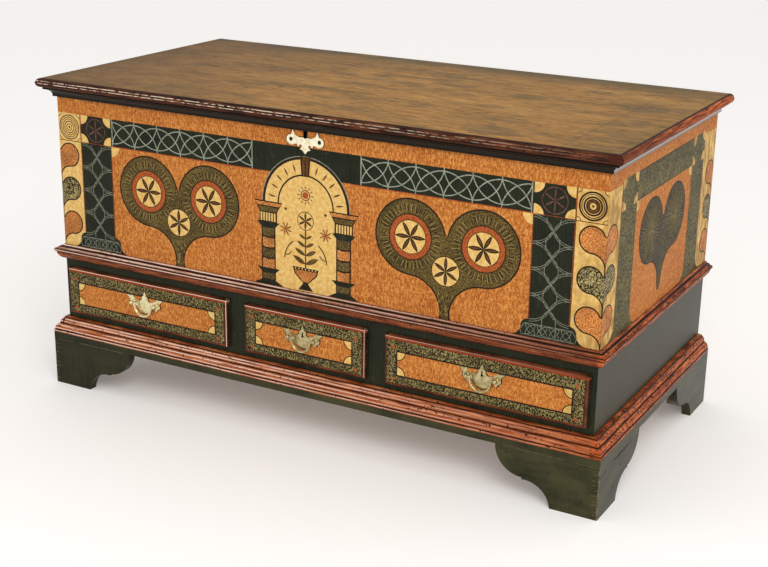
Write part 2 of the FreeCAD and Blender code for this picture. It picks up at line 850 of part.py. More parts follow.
# Right half of the chest's escutcheon, clockwise from the notch under the keyhole.
ESCUTCHEON_HALF = [
    (0, 6.5), (4.5, 9.5), (14, 8.5), (24, 13), (29, 23), (32, 13),  # up to the spur
    (25.5, -5, 14.5),                                               # ring
    (19, -5), (16.5, -10.5), (13, -6), (7, -9, -2.2),               # cusps
    (12.5, -14.5), (6, -17), (0, -24),                              # bar and point
]
escutcheon_ring = (33.0, 3.5, 4.0)   # centre and radius of the hole in the ring


def chest_escutcheon():
    """The cut brass plate below the chest's keyhole."""
    z = z_rim - escutcheon_drop
    plate = plate_xz(both_halves(ESCUTCHEON_HALF), y_front - plate_thickness, y_front, 0, z)
    u, v, radius = escutcheon_ring
    return plate.cut([eight_sided(V(side * u, y_front - plate_thickness, z + v),
                                  V(0, plate_thickness, 0), radius) for side in (-1, 1)])


# ---- lid ------------------------------------------------------------------------------------
def lid_board():
    """The lid's board, inside its applied moulding."""
    board = box(-half_width - lid_gap, half_width + lid_gap, y_front - lid_gap, y_back,
                z_lid, z_lid + lid_thickness)
    return board.cut(catch_plate_block())


def hinge_axis(x=0.0):
    """A point on the axis of the lid's hinges."""
    return V(x, y_back + barrel_offset, z_lid)


def hinge_barrel(x0, x1, radius):
    """A round bar on the hinge axis."""
    return rod(hinge_axis(x0), V(1, 0, 0), radius, x1 - x0)


def hinge_strap(x):
    """A strap under the lid that runs back over the board to its knuckle."""
    half, tip, neck = strap_width / 2, strap_tip / 2, knuckle / 2
    y_tip = y_back - strap_length + tip
    leaf = [(x - half, y_back), (x - tip, y_tip), (x + tip, y_tip, tip), (x + half, y_back)]
    strap = plate_xy(leaf, z_lid - strap_thickness, z_lid)
    axis = hinge_axis()
    tongue = box(x - neck, x + neck, y_back, axis.y, z_lid - strap_thickness, z_lid)
    barrels = hinge_barrel(x - neck, x + neck, barrel_radius)
    hole = hinge_barrel(x - knuckle, x + knuckle, hinge_pin_radius + hinge_pin_gap)
    return joined([strap, tongue, barrels]).cut(hole)


def hinge_leaf(x):
    """The leaf on the back of the case, with its two knuckles and the pin."""
    near, far = knuckle / 2 + knuckle_gap, strap_width / 2
    axis = hinge_axis()
    low, shoulder = axis.z - leaf_height, axis.z - barrel_radius
    y0, y1 = y_back, y_back + leaf_thickness
    neck = axis.y - barrel_radius
    pieces = [box(x - far, x + far, y0, y1, low, shoulder),
              eight_sided(hinge_axis(x - far), V(2 * far, 0, 0), hinge_pin_radius / EIGHT)]
    for x0, x1 in ((x - far, x - near), (x + near, x + far)):
        pieces.append(box(x0, x1, neck, y1, shoulder, axis.z))
        pieces.append(hinge_barrel(x0, x1, barrel_radius))
    return joined(pieces)


# ---- till -----------------------------------------------------------------------------------
def till_front():
    """The till's long board, grooved for its bottom."""
    return till_front_block().cut(till_bottom_tongue())


def till_bottom_tongue():
    """The edge of the till's bottom that enters its long board."""
    z = till_bottom_block().BoundBox
    x = -inner_half + till_width
    return box(x, x + till_housing, z.YMin, z.YMax, z.ZMin, z.ZMax)


def till_bottom():
    """The till's bottom with its tongue."""
    return joined([till_bottom_block(), till_bottom_tongue()])


def till_lid():
    """The till's lid, rounded along its pivot edge, with a turned pin at each end."""
    axis = till_axis()
    r = till_board / 2
    x1 = -inner_half + till_width + till_board + till_lid_lip
    y0, y1 = y_inner_front + till_end_gap, y_inner_back - till_end_gap
    lid = box(axis.x, x1, y0, y1, axis.z - r, axis.z + r)
    edge = rod(V(axis.x, y0, axis.z), V(0, 1, 0), r, y1 - y0)
    return joined([lid, edge] + till_pins(till_pin_radius, till_pin_length))


# ---- all the pieces ---------------------------------------------------------------------------
def pieces():
    """Every node's name with its solid, or its list of solids."""
    nodes = {"front_board": front_board(), "back_board": back_board(),
             "left_end_board": end_board(-1), "right_end_board": end_board(1),
             "chest_floor": floor_block(), "bottom_board": bottom_board(),
             "drawer_top_rail": drawer_top_rail(), "drawer_bottom_rail": drawer_bottom_rail(),
             "drawer_dividers": [divider_block(-1), divider_block(1)],
             "drawer_runners": drawer_runners(), "drawer_guides": drawer_guides(),
             "foot_blocks": foot_blocks(),
             "till_front": till_front(), "till_bottom": till_bottom(), "till_lid": till_lid(),
             "chest_lock_case": chest_lock_case(), "chest_lock_bolt": chest_bolt_block(),
             "chest_escutcheon": chest_escutcheon(),
             "lid_board": lid_board(), "lid_lock_catch": lock_catch(),
             "lid_hinge_straps": [hinge_strap(x) for x in hinge_positions()],
             "case_hinge_leaves": [hinge_leaf(x) for x in hinge_positions()]}
    runs = {"lid_moulding": run_around(lid_profile(), z_lid),
            "waist_moulding": run_around(waist_profile(), z_chest - waist_drop),
            "base_moulding": run_around(base_profile(), z_case)}
    for name, (front, left, right) in runs.items():
        nodes[name + "_front"] = front
        nodes[name + "_sides"] = [left, right]
    front, left, right, back = base_frame()
    nodes["base_frame_front"] = front
    nodes["base_frame_sides"] = [left, right]
    nodes["base_frame_back"] = back
    for name, solids in (("front", front_foot()), ("rear", rear_foot())):
        nodes[name + "_right_foot"] = solids
        nodes[name + "_left_foot"] = [mirrored(solid) for solid in solids]
    for name in DRAWERS:
        nodes[name + "_drawer_front"] = drawer_front(name)
        nodes[name + "_drawer_sides"] = drawer_sides(name)
        nodes[name + "_drawer_back"] = drawer_back_board(name)
        nodes[name + "_drawer_bottom"] = drawer_bottom_panel(name)
        nodes[name + "_pull_plate"] = pull_plate(name)
        nodes[name + "_pull_posts"] = [pull_post(x) for x in post_places(name)]
        nodes[name + "_bail"] = bail(name)
    for name in LOCKED:
        nodes[name + "_lock_case"] = drawer_lock_case(name)
        nodes[name + "_lock_bolt"] = drawer_bolt(name)
    return nodes


def main():
    """Write one STEP file for each node."""
    os.makedirs("parts", exist_ok=True)
    for name, shape in pieces().items():
        solid = Part.makeCompound(shape) if isinstance(shape, list) else shape
        solid.exportStep("parts/" + name + ".step")


main()
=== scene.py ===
import math
import random
from collections import defaultdict, namedtuple
from functools import reduce

import bmesh
import bpy
from mathutils import Matrix, Vector

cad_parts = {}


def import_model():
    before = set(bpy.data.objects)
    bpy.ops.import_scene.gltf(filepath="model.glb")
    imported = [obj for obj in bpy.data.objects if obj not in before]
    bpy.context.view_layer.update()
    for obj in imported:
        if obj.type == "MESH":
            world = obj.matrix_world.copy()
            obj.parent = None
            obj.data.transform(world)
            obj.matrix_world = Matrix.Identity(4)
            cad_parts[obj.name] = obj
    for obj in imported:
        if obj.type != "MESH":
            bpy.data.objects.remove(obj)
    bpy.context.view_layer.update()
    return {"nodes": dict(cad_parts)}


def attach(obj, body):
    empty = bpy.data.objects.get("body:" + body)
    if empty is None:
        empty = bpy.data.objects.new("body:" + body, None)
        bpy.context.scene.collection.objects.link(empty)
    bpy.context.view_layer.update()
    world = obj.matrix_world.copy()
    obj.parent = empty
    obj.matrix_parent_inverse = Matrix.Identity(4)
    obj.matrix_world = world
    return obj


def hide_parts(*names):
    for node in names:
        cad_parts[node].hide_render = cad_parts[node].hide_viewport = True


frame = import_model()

# Looks of a painted mule chest.  Paint and small hardware are drawn in millimetres.
MM = 0.001
X, Y, Z = (1, 0, 0), (0, 1, 0), (0, 0, 1)
OUT = (0, -1, 0)            # the way that the front faces
FRONT = -311.5              # y of the chest's front boards
END = 635.0                 # x of the chest's end boards
MIDDLE = 8.5                # y of the middle of the ends
FIELD = -323.8              # y of the drawers' flat fields
SKIN = 0.3                  # depth to which a board's paint goes in round its edges
COAT = 0.1                  # thickness of one coat of paint
FACET = 7                   # degrees that one straight piece of an arc takes up
WAIST = 330.0               # top of the waist moulding
ORANGE = 315.0              # height from which the boards are orange
BAND = (570.6, 629.3)       # bottom and top of the band across the front
PILLAR = 568.6              # top of the front's pilasters
POST = (-573, -491)         # sides of the front's left pilaster
SQUARE = (PILLAR + BAND[1]) / 2       # middle height of the squares over the pilasters
HEART = (-316, 484)         # middle between the lobes of the front's left heart
TARGET = 605                # x of the targets by the front's corners
ARCH = (0.0, 508.0)         # centre of the arch over the niche
EYE = (0, 532)              # centre of the compass flower in the arch
LIP = 7.5                   # rounded edge of a drawer front
DRAWERS = {"left": (-406.5, 433), "centre": (0.0, 294), "right": (406.5, 433)}
DRAWER_LOW, DRAWER_HIGH = 172.0, 279.0
PULL, BAIL = 232.5, -332.4  # z and y of the pins on which the bails swing
NOSE = 684.4                # height of the nosing's square edge, over its cove
LID_TOP_FROM = 703.5        # height over which the lid's top is taken to be flat
STRAPS = (-400, 400)        # x of the two strap hinges
BARE = ("8A6540", "A9825A", "C09A6C")  # low, middle and high tone of bare softwood
KEYHOLE_SHADE = "0E0A07"             # painted shade on the walls inside a keyhole
EVEN = (0.36, 0.5, 0.64)    # places of three tones, spread evenly about the middle
OIL = {"Specular_IOR_Level": 0.12}     # what the shader of dull oil paint is set to
VARNISH = {"Specular_IOR_Level": 0.2, "IOR": 1.38, "Specular_Tint": (1.0, 0.92, 0.76, 1.0)}
random.seed(4)


# ---- finishes -----------------------------
# A colour or an amount is written as a kind of node with its values, one inside another:
# a kind has its node's type, the sockets the values go to, the output, and its settings.
Kind = namedtuple("Kind", "node sockets output settings")
PLACE = (Kind("ShaderNodeTexCoord", (), "Object", {}),)
ALONG = [(Kind("ShaderNodeSeparateXYZ", (0,), axis, {}), PLACE) for axis in range(3)]
RAYS = [(Kind("ShaderNodeLightPath", (), f"Is {ray} Ray", {}),)
        for ray in ("Camera", "Glossy", "Transmission")]
STRETCH = Kind("ShaderNodeMapping", ("Vector", "Scale"), 0, {})
NOISE = Kind("ShaderNodeTexNoise", ("Vector", "Scale", "Detail", "Distortion"), "Fac", {})
TONES = Kind("ShaderNodeValToRGB", ("Fac",), "Color", {})      # then its colours' stops
OVER, WASH = [Kind("ShaderNodeMix", (0, 6, 7), 2, {"data_type": "RGBA", "blend_type": way})
              for way in ("MIX", "MULTIPLY")]
SHARP = Kind("ShaderNodeMapRange", (0, 1, 2), 0, {})           # drawn out between two values
BETWEEN = Kind("ShaderNodeMapRange", (0, 3, 4), 0, {})         # brought between two values
BUMP = Kind("ShaderNodeBump", ("Height", "Distance"), 0, {})
BOTH, SUM, LESS, SIZE, MOST, MORE, BELOW = [
    Kind("ShaderNodeMath", (0, 1), 0, {"operation": way}) for way in
    ("MULTIPLY", "ADD", "SUBTRACT", "ABSOLUTE", "MAXIMUM", "GREATER_THAN", "LESS_THAN")]


def linear(code):
    """The scene-linear colour of an sRGB hex code."""
    parts = [int(code[n:n + 2], 16) / 255 for n in (0, 2, 4)]
    return (*[p / 12.92 if p <= 0.04045 else ((p + 0.055) / 1.055) ** 2.4 for p in parts], 1)


def supply(tree, made, socket, value):
    """Links a socket to a node that is written as its value, or sets it to the value."""
    if isinstance(value, tuple) and isinstance(value[0], Kind):
        if id(value) not in made:
            made[id(value)] = add(tree, made, *value)
        tree.links.new(made[id(value)], socket)
    else:
        socket.default_value = linear(value) if isinstance(value, str) else value


def add(tree, made, kind, *values):
    """Adds a node with its settings, links and colour stops."""
    node = tree.nodes.new(kind.node)
    for setting, value in kind.settings.items():
        setattr(node, setting, value)
    for socket, value in zip(kind.sockets, values):
        supply(tree, made, node.inputs[socket], value)
    for n, (place, code) in enumerate(values[len(kind.sockets):]):
        elements = node.color_ramp.elements
        stop = elements[n] if n < 2 else elements.new(place)
        stop.position = place
        stop.color = linear(code)
    return node.outputs[kind.output]


def finish(name, **shader):
    """A material with its shader's sockets supplied."""
    material = bpy.data.materials.new(name)
    material.use_nodes = True
    tree, made = material.node_tree, {}
    for socket, value in shader.items():
        place = tree.nodes["Principled BSDF"].inputs[socket.replace("_", " ")]
        supply(tree, made, place, value)
    return material


def worked(name, colour, height, depth, rough, follows=None, **shader):
    """A finish with relief depth mm deep, and roughness that follows it or a mask."""
    return finish(name, Base_Color=colour, Normal=(BUMP, height, depth * MM),
                  Roughness=(BETWEEN, follows or height, *rough), **shader)


def chain(kind, *amounts):
    """Amounts joined one after another by a kind of node."""
    return reduce(lambda one, other: (kind, one, other), amounts)


def layered(colour, *coats):
    """A colour with others laid over it in turn, each by its own amount."""
    for amount, upper in coats:
        colour = (OVER, amount, colour, upper)
    return colour


def patches(size, drawn_out=(1, 1, 1), detail=3.0, curl=0.0):
    """Uneven tone in patches size mm across, drawn out along the axes, curled if wanted."""
    scale = [1 / (size * MM * s) for s in drawn_out]
    return (NOISE, (STRETCH, PLACE, scale), 1.0, detail, curl)


def spots(low, high, size, *drawn):
    """The higher patches by themselves, between two of their values."""
    return (SHARP, patches(size, *drawn), low, high)


def flecks(size, share=0.72):
    """Small lost or dirty places, rare and size mm across."""
    return spots(share, share + 0.03, size, (1, 1, 1.4), 4.0)


def past(axis, limit, way=MORE):
    """One where a place lies past a limit in mm along an axis, else nought."""
    return (way, ALONG[axis], limit * MM)


def beyond(limit, middle=0.0, axis=0):
    """One where a place lies more than a limit in mm to either side of a middle."""
    return (MORE, (SIZE, (LESS, ALONG[axis], middle * MM)), limit * MM)


def within(limit, middle, axis=0):
    """One within a limit in mm to either side of a middle, else nought."""
    return (LESS, 1.0, beyond(limit, middle, axis))


def lines_at(wide, *heights):
    """One near any of some heights in mm, fading out wide mm away, unevenly."""
    place = (SUM, ALONG[2], (BETWEEN, patches(9, (4, 4, 1)), -0.5 * MM, 0.5 * MM))
    return chain(MOST, *[(SHARP, (SIZE, (LESS, place, height * MM)), wide * MM, 0.3 * wide * MM)
                         for height in heights])


def grain(axis, size=3.4, drawn=22, detail=5.0):
    """The lines of wood's grain along an axis."""
    return patches(size, [drawn if letter == axis else 1 for letter in "xyz"], detail)


def wood(axis):
    """Hand-planed softwood left bare indoors, its grain close in one band, wide in the next."""
    bands = (TONES, grain(axis, 26, 14, 3.0), (0.35, BARE[0]), (0.65, BARE[2]))
    return layered((TONES, grain(axis), *zip((0.3, 0.5, 0.7), BARE)), (0.4, bands))


# One at the chest's left, falling off to nought at its right: it fades the painted highlights.
TOWARD_LEFT = (SHARP, ALONG[0], 0.65, -0.15)

# Orange ground worked while wet: short curling upright marks, flecks of dirt.
COMB = patches(2.3, (1, 1, 2.8), 2.0, 0.9)
COMBED = layered(
    (TONES, patches(110), (0.38, "AE5C26"), (0.62, "C47633")),
    (0.66, (TONES, COMB, *zip(EVEN, ("763A12", "B8692A", "ECAC5E")))),
    (0.2, (TONES, patches(2.6, (14, 14, 1)), (0.36, "96541F"), (0.64, "D08C40"))),
    (flecks(5), "3A2112"))

# Oil paint of a blackened green, with faint brush marks and rubbed places.
BRUSH = patches(3, (1, 1, 12))
BLACK_GREEN = layered(
    (TONES, patches(60), (0.35, "151A10"), (0.65, "242819")),
    (0.4, (TONES, BRUSH, (0.35, "11140C"), (0.7, "2E3122"))),
    (spots(0.62, 0.76, 24, (1, 1, 2), 6.0), "37331E"), (flecks(7, 0.75), "6A5A3C"))

# Worn tan-brown paint on the lid, streaked along its boards, dull and olive where it is
# used most, browner at the left, with dents and two scribed lines across.
LID_STREAK = patches(4, (20, 1, 1), 6.0)
LID_WORN = patches(45, (3, 1, 1), 5.0)
LID_OLIVE = chain(
    MOST, (BOTH, (SHARP, LID_WORN, 0.54, 0.66), 0.5),
    chain(BOTH, (SHARP, ALONG[1], 0.22, 0.3), (SHARP, LID_WORN, 0.3, 0.5), 0.8),
    chain(BOTH, (SHARP, ALONG[0], 0.5, 0.56), (SHARP, LID_WORN, 0.4, 0.6), 0.45))
LID_BROWN = layered(
    (TONES, patches(120, (2.4, 1, 1), 5.0), (0.34, "5A4424"), (0.45, "8E662E"),
     (0.54, "A67232"), (0.66, "B88A46")),
    (0.42, (TONES, LID_STREAK, (0.38, "46301A"), (0.5, "93672B"), (0.62, "C89A54"))),
    (0.3, (TONES, patches(6, (3, 1, 1), 3.0), (0.4, "5E4420"), (0.6, "B2843C"))),
    (LID_OLIVE, "484228"), ((BOTH, (SHARP, ALONG[0], -0.1, -0.7), 0.7), "503A20"),
    (spots(0.64, 0.7, 7, (5, 1, 1), 4.0), "3A2614"),
    *[((BOTH, within(1.2, x), 0.5), "3F2A16") for x in (-172, 546)])


def part_painted(name, axis, front, end, worn):
    """Varnished green outside, which greys at a slant; bare behind front and inside end."""
    # Rubbed places, fading out toward the left: wear, and toward the right also a painted
    # sheen.
    rubbed = chain(BOTH, spots(0.25, 0.6, 30, (2.5, 2.5, 1), 5.0), worn,
                   (SHARP, ALONG[0], -0.9, 0.1))
    arris = chain(BOTH, past(1, front - 18.5, BELOW), beyond(end + 17.0),
                  spots(0.42, 0.56, 6, (1, 1, 2), 5.0), worn)
    green = layered(BLACK_GREEN, (rubbed, "4E4A30"), (arris, "8A7A56"))
    outside = (MOST, past(1, front, BELOW), beyond(end))
    return worked(name, layered(wood(axis), (outside, green)), BRUSH, 0.1, (0.7, 0.32),
                  outside, **VARNISH)


def stippled_paint(name, dark, light, size, spread=(0.42, 0.58), curl=0.0, detail=2.0):
    """Paint dabbed over a darker coat, so that it stands in small crossing dabs."""
    dabs = patches(size, (1, 1, 1.5), detail, curl)
    wash = (TONES, patches(40), (0.35, "CDCDCD"), (0.65, "FFFFFF"))
    colour = (WASH, 1.0, (TONES, dabs, *zip(spread, (dark, light))), wash)
    return worked(name, colour, dabs, 0.15, (0.55, 0.42), **OIL)


def plain_paint(name, low, high, worn, size=14.0, lost=(0.62, 0.72), soiled=0.0):
    """Brushed oil paint, uneven, with small losses to an older tone; dirt past soiled mm."""
    fine = patches(3.5, (1, 1, 1), 5.0)
    colour = (TONES, patches(size, (1, 1, 1), 5.0), (0.38, low), (0.62, high))
    if soiled:
        near = (SHARP, ALONG[0], soiled * MM, END * MM)
        colour = (OVER, (BOTH, spots(0.38, 0.6, 15, (1, 1, 2), 6.0), near), colour, worn)
    colour = (OVER, (SHARP, fine, *lost), colour, worn)
    return worked(name, colour, fine, 0.06, (0.55, 0.44), **OIL)


def moulding_paint(name, tones, quirks, crests):
    """Orange-red oil paint on reeds: dirt and painted shade in the quirks, painted highlights
    and rubbed pale places along the crests.
    """
    streak = patches(2.2, (24, 24, 1), 5.0)
    chips = patches(4.2, (1.6, 1.6, 1), 5.0)
    front, ends = [(TONES, streak, *zip(EVEN, codes))
                   for codes in (tones, ("662A10", "A64A1C", "CC7440"))]
    end = beyond(END + 3)
    # Pale broken lines along the crests, fading to the right: painted highlights, partly rubbed
    # paint.
    pale = chain(BOTH, lines_at(1.4, *crests), spots(0.3, 0.48, 6, (14, 14, 1), 5.0),
                 TOWARD_LEFT)
    # Dark lines in the quirks are painted shade with dirt; the chips are wear.
    worn = chain(MOST, lines_at(1.5, *quirks), (BOTH, (SHARP, chips, 0.55, 0.6), end),
                 (SHARP, chips, 0.62, 0.67))
    colour = layered(front, (end, ends), (pale, "E4C8B6"), (worn, "241208"))
    return worked(name, colour, streak, 0.15, (0.5, 0.38), **OIL)


def case_board(name, axis):
    """A case board: bare inside, green outside below the waist, combed orange above."""
    end = beyond(END - SKIN)
    # On the ends the green is lightened to a warm olive: painted sheen.
    painted = layered(BLACK_GREEN, ((BOTH, end, 0.35), "4C4430"), (past(2, ORANGE), COMBED))
    outside = (MOST, past(1, FRONT + SKIN, BELOW), end)
    # The walls inside the chest's keyhole get painted shade.
    keyhole = chain(BOTH, within(4.8, 0), within(10, 655, 2), past(1, FRONT + 21, BELOW))
    colour = layered(wood(axis), (outside, painted), (keyhole, KEYHOLE_SHADE))
    return worked(name, colour, COMB, 0.1, (0.55, 0.34), past(2, ORANGE, BELOW), **VARNISH)


def drawer_front_paint(name, middle, width):
    """A drawer front: combed orange field, red-brown rounded lip with painted highlights and
    painted shade, bare wood behind.
    """
    half, rise = width / 2, (DRAWER_HIGH - DRAWER_LOW) / 2
    sides = beyond(half - LIP, middle)
    lip = (MOST, sides, beyond(rise - LIP, DRAWER_LOW + rise, 2))
    # Pale lines along the top lip and the right edge, fading to the right: painted highlights.
    edge = (MOST, lines_at(1.0, DRAWER_HIGH - 3), within(0.6, middle + half - 3))
    red = layered(
        (TONES, patches(4, (20, 20, 6), 4.0), (0.36, "421C0E"), (0.5, "63301C"),
         (0.66, "7E442A")),
        # The lip's sides are darkened, deepest toward the back: painted shade.
        ((BOTH, sides, 0.5), "3A2A1C"), (chain(BOTH, sides, past(1, FIELD + 4), 0.8), "1C130D"),
        (lines_at(1.6, DRAWER_HIGH - 6), "A8401C"), ((BOTH, edge, TOWARD_LEFT), "E4C4B0"))
    # The walls inside the drawer's keyhole get painted shade.
    keyhole = (BOTH, within(3.4, middle), within(7, PULL + 7, 2))
    colour = layered(COMBED, (lip, red), (past(1, FRONT - 0.5), wood("x")), (keyhole, KEYHOLE_SHADE))
    return worked(name, colour, COMB, 0.12, (0.55, 0.4), Specular_IOR_Level=0.08)


def nosing_paint(name, tones, cove_paint_and_reflection):
    """Varnished nosing with a painted highlight line, tan like the lid on top, a cove below,
    bare in.
    """
    streak = patches(3, (20, 20, 1), 5.0)
    end = beyond(END + 3)
    near = chain(BOTH, (SHARP, ALONG[1], 0.15, -0.36), end, 0.75)
    # A broken pale line along the nose, fading to the right: painted highlight.
    line = chain(BOTH, lines_at(1.1, 694, 699), spots(0.42, 0.54, 3.6, (3, 3, 1), 5.0),
                 TOWARD_LEFT)
    cove = past(2, NOSE, BELOW)
    # The cove's tones: dark paint on the front, painted reflection on the ends.
    hollow = (TONES, (SHARP, ALONG[2], 0.664, NOSE * MM), *cove_paint_and_reflection)
    nosing = layered(
        (TONES, streak, *zip(EVEN, tones)), (near, "42180C"),
        (spots(0.61, 0.65, 3.4, (2, 2, 1), 5.0), "1E0C06"), (line, "DCCAB4"), (cove, hollow))
    outside = (MOST, end, past(1, FRONT - 2.5, BELOW))
    rim = (MOST, beyond(655.5), past(1, -332, BELOW))
    colour = layered(wood("y"), (outside, nosing),
                     (past(2, LID_TOP_FROM), layered(LID_BROWN, (rim, "2E1A0C"))))
    return worked(name, colour, streak, 0.2, (0.6, 0.2), cove, **OIL)


def brass(name, dull, bright, rough):
    """Cast and filed brass, old and rubbed: uneven in patches."""
    colour = (TONES, patches(9, (1, 1, 1), 5.0), (0.38, dull), (0.6, bright))
    return worked(name, colour, patches(1.2), 0.04, rough, Metallic=1.0)


GREEN = worked("blackened_green_oil_paint", BLACK_GREEN, BRUSH, 0.1, (0.55, 0.42), **OIL)
OLIVE = stippled_paint("stippled_olive_oil_paint", "3E3116", "7A6634", 2.4)
END_OLIVE = stippled_paint("stippled_olive_grey_paint", "322C14", "7C7040", 2.6)
DEEP_OLIVE = stippled_paint("deep_olive_oil_paint", "302610", "625430", 2.6)
BORDER = stippled_paint("stippled_border_oil_paint", "272012", "9F8F57", 2.4, (0.48, 0.62),
                        1.0, 0.0)
WORM = stippled_paint("curling_dabs_on_olive", "2C2612", "BBA972", 4.2, (0.47, 0.57), 1.8)
LEAF = stippled_paint("stippled_orange_oil_paint", "AE5E28", "E09A54", 2.6)
CREAM = plain_paint("cream_oil_paint", "D3A656", "E2C07A", "A67E40", 8.0, (0.66, 0.74), 540.0)
OUTLINE = plain_paint("black_brown_line_paint", "1E140B", "2E2012", "4A3620")
RED = plain_paint("red_lead_oil_paint", "8E3C1A", "B4602E", "5E2A16", 4.0)
SEAM = plain_paint("rubbed_seam", "4A4632", "635E46", "2C2A1C", 5.0)
SCRATCH = plain_paint("fine_olive_line_paint", "6E6238", "8C7E4C", "3A331E", 5.0)
DIM_SCRIBED = plain_paint("worn_grey_green_line_paint", "5C5E50", "848674", "34352A", 4.0)
EDGE_RED = plain_paint("red_brown_line_paint", "6E2E16", "9A4C28", "4A2A1A", 5.0)
PETAL = plain_paint("brown_petal_paint", "4A2F14", "6B4622", "8F6A3A", 5.0)
DARK_RED = plain_paint("dark_red_line_paint", "58332A", "775043", "3A2A20", 5.0)
DABS = plain_paint("tan_stipple_paint", "8A7440", "A88F54", "5C4D2C", 5.0)
FAINT = plain_paint("faint_scribed_circle", "9A4A20", "AA5626", "8A4A26", 5.0)
SCRIBED = plain_paint("grey_green_line_paint", "7C8270", "9CA28E", "4C5042", 5.0)
# Heights of the quirks, darkened with painted shade and dirt, then of the crests, which carry
# painted highlights.
WAIST_PAINT = moulding_paint("red_brown_oil_paint_on_waist", ("4A2010", "7C3C20", "9C5A34"),
                             (298.5, 315.6, 320.6, 325.8), (318, 323.2, 328.4))
BASE_PAINT = moulding_paint("orange_red_oil_paint_on_base", ("6A2E12", "A05028", "BE7444"),
                            (129.4, 143.2, 155.8), (126.6, 133, 139.6, 147.6, 152.6))
NOSING = nosing_paint("dark_varnish_on_nosing", ("1E0E07", "422010", "683A22"),
                      ((0.0, "15100B"), (0.5, "2A2118"), (1.0, "0F0B08")))
# On the ends the cove's pale grey bands are painted reflection over dark paint.
END_NOSING = nosing_paint("orange_red_varnish_on_nosing", ("54240E", "A04A1C", "C8703A"),
                          ((0.0, "7C7870"), (0.3, "A8A49C"), (0.42, "3E3A34"),
                           (0.55, "B0ACA4"), (0.85, "8C8880"), (0.95, "1A1410")))
# The lid's board: brown paint worn dull by use above, bare planed wood below.
LID_TOP = worked("worn_brown_paint_on_lid", layered(wood("x"), (past(2, 683), LID_BROWN)),
                 LID_STREAK, 0.2, (0.6, 0.42), Specular_IOR_Level=0.07)
# Softwood left bare indoors: dry, warm brown, open grain.
WOOD_X, WOOD_Y, WOOD_Z = [worked("bare_pine_grain_" + axis, wood(axis), grain(axis), 0.25,
                                 (0.78, 0.62)) for axis in "xyz"]
BRASS = brass("aged_cast_brass", "A29468", "C6B88A", (0.4, 0.28))
PALE_BRASS = brass("rubbed_pale_brass", "CFC296", "E8DDB0", (0.36, 0.24))
BRIGHT_BRASS = brass("polished_pale_brass", "EADFB6", "FFF9E0", (0.3, 0.2))
# Hammered wrought iron, blackened, with a little brown rust.
RUST = (TONES, patches(14, (1, 1, 1), 6.0), (0.45, "2C2A29"), (0.7, "5A3A28"))
IRON = worked("forged_iron", RUST, patches(9, (1, 1, 1), 2.0), 0.5, (0.62, 0.45),
              Metallic=0.85)


# ---- painting -----------------------------
def at(centre, degrees, radius):
    """The point at an angle and a radius from a centre."""
    angle = math.radians(degrees)
    return Vector(centre) + radius * Vector((math.cos(angle), math.sin(angle)))


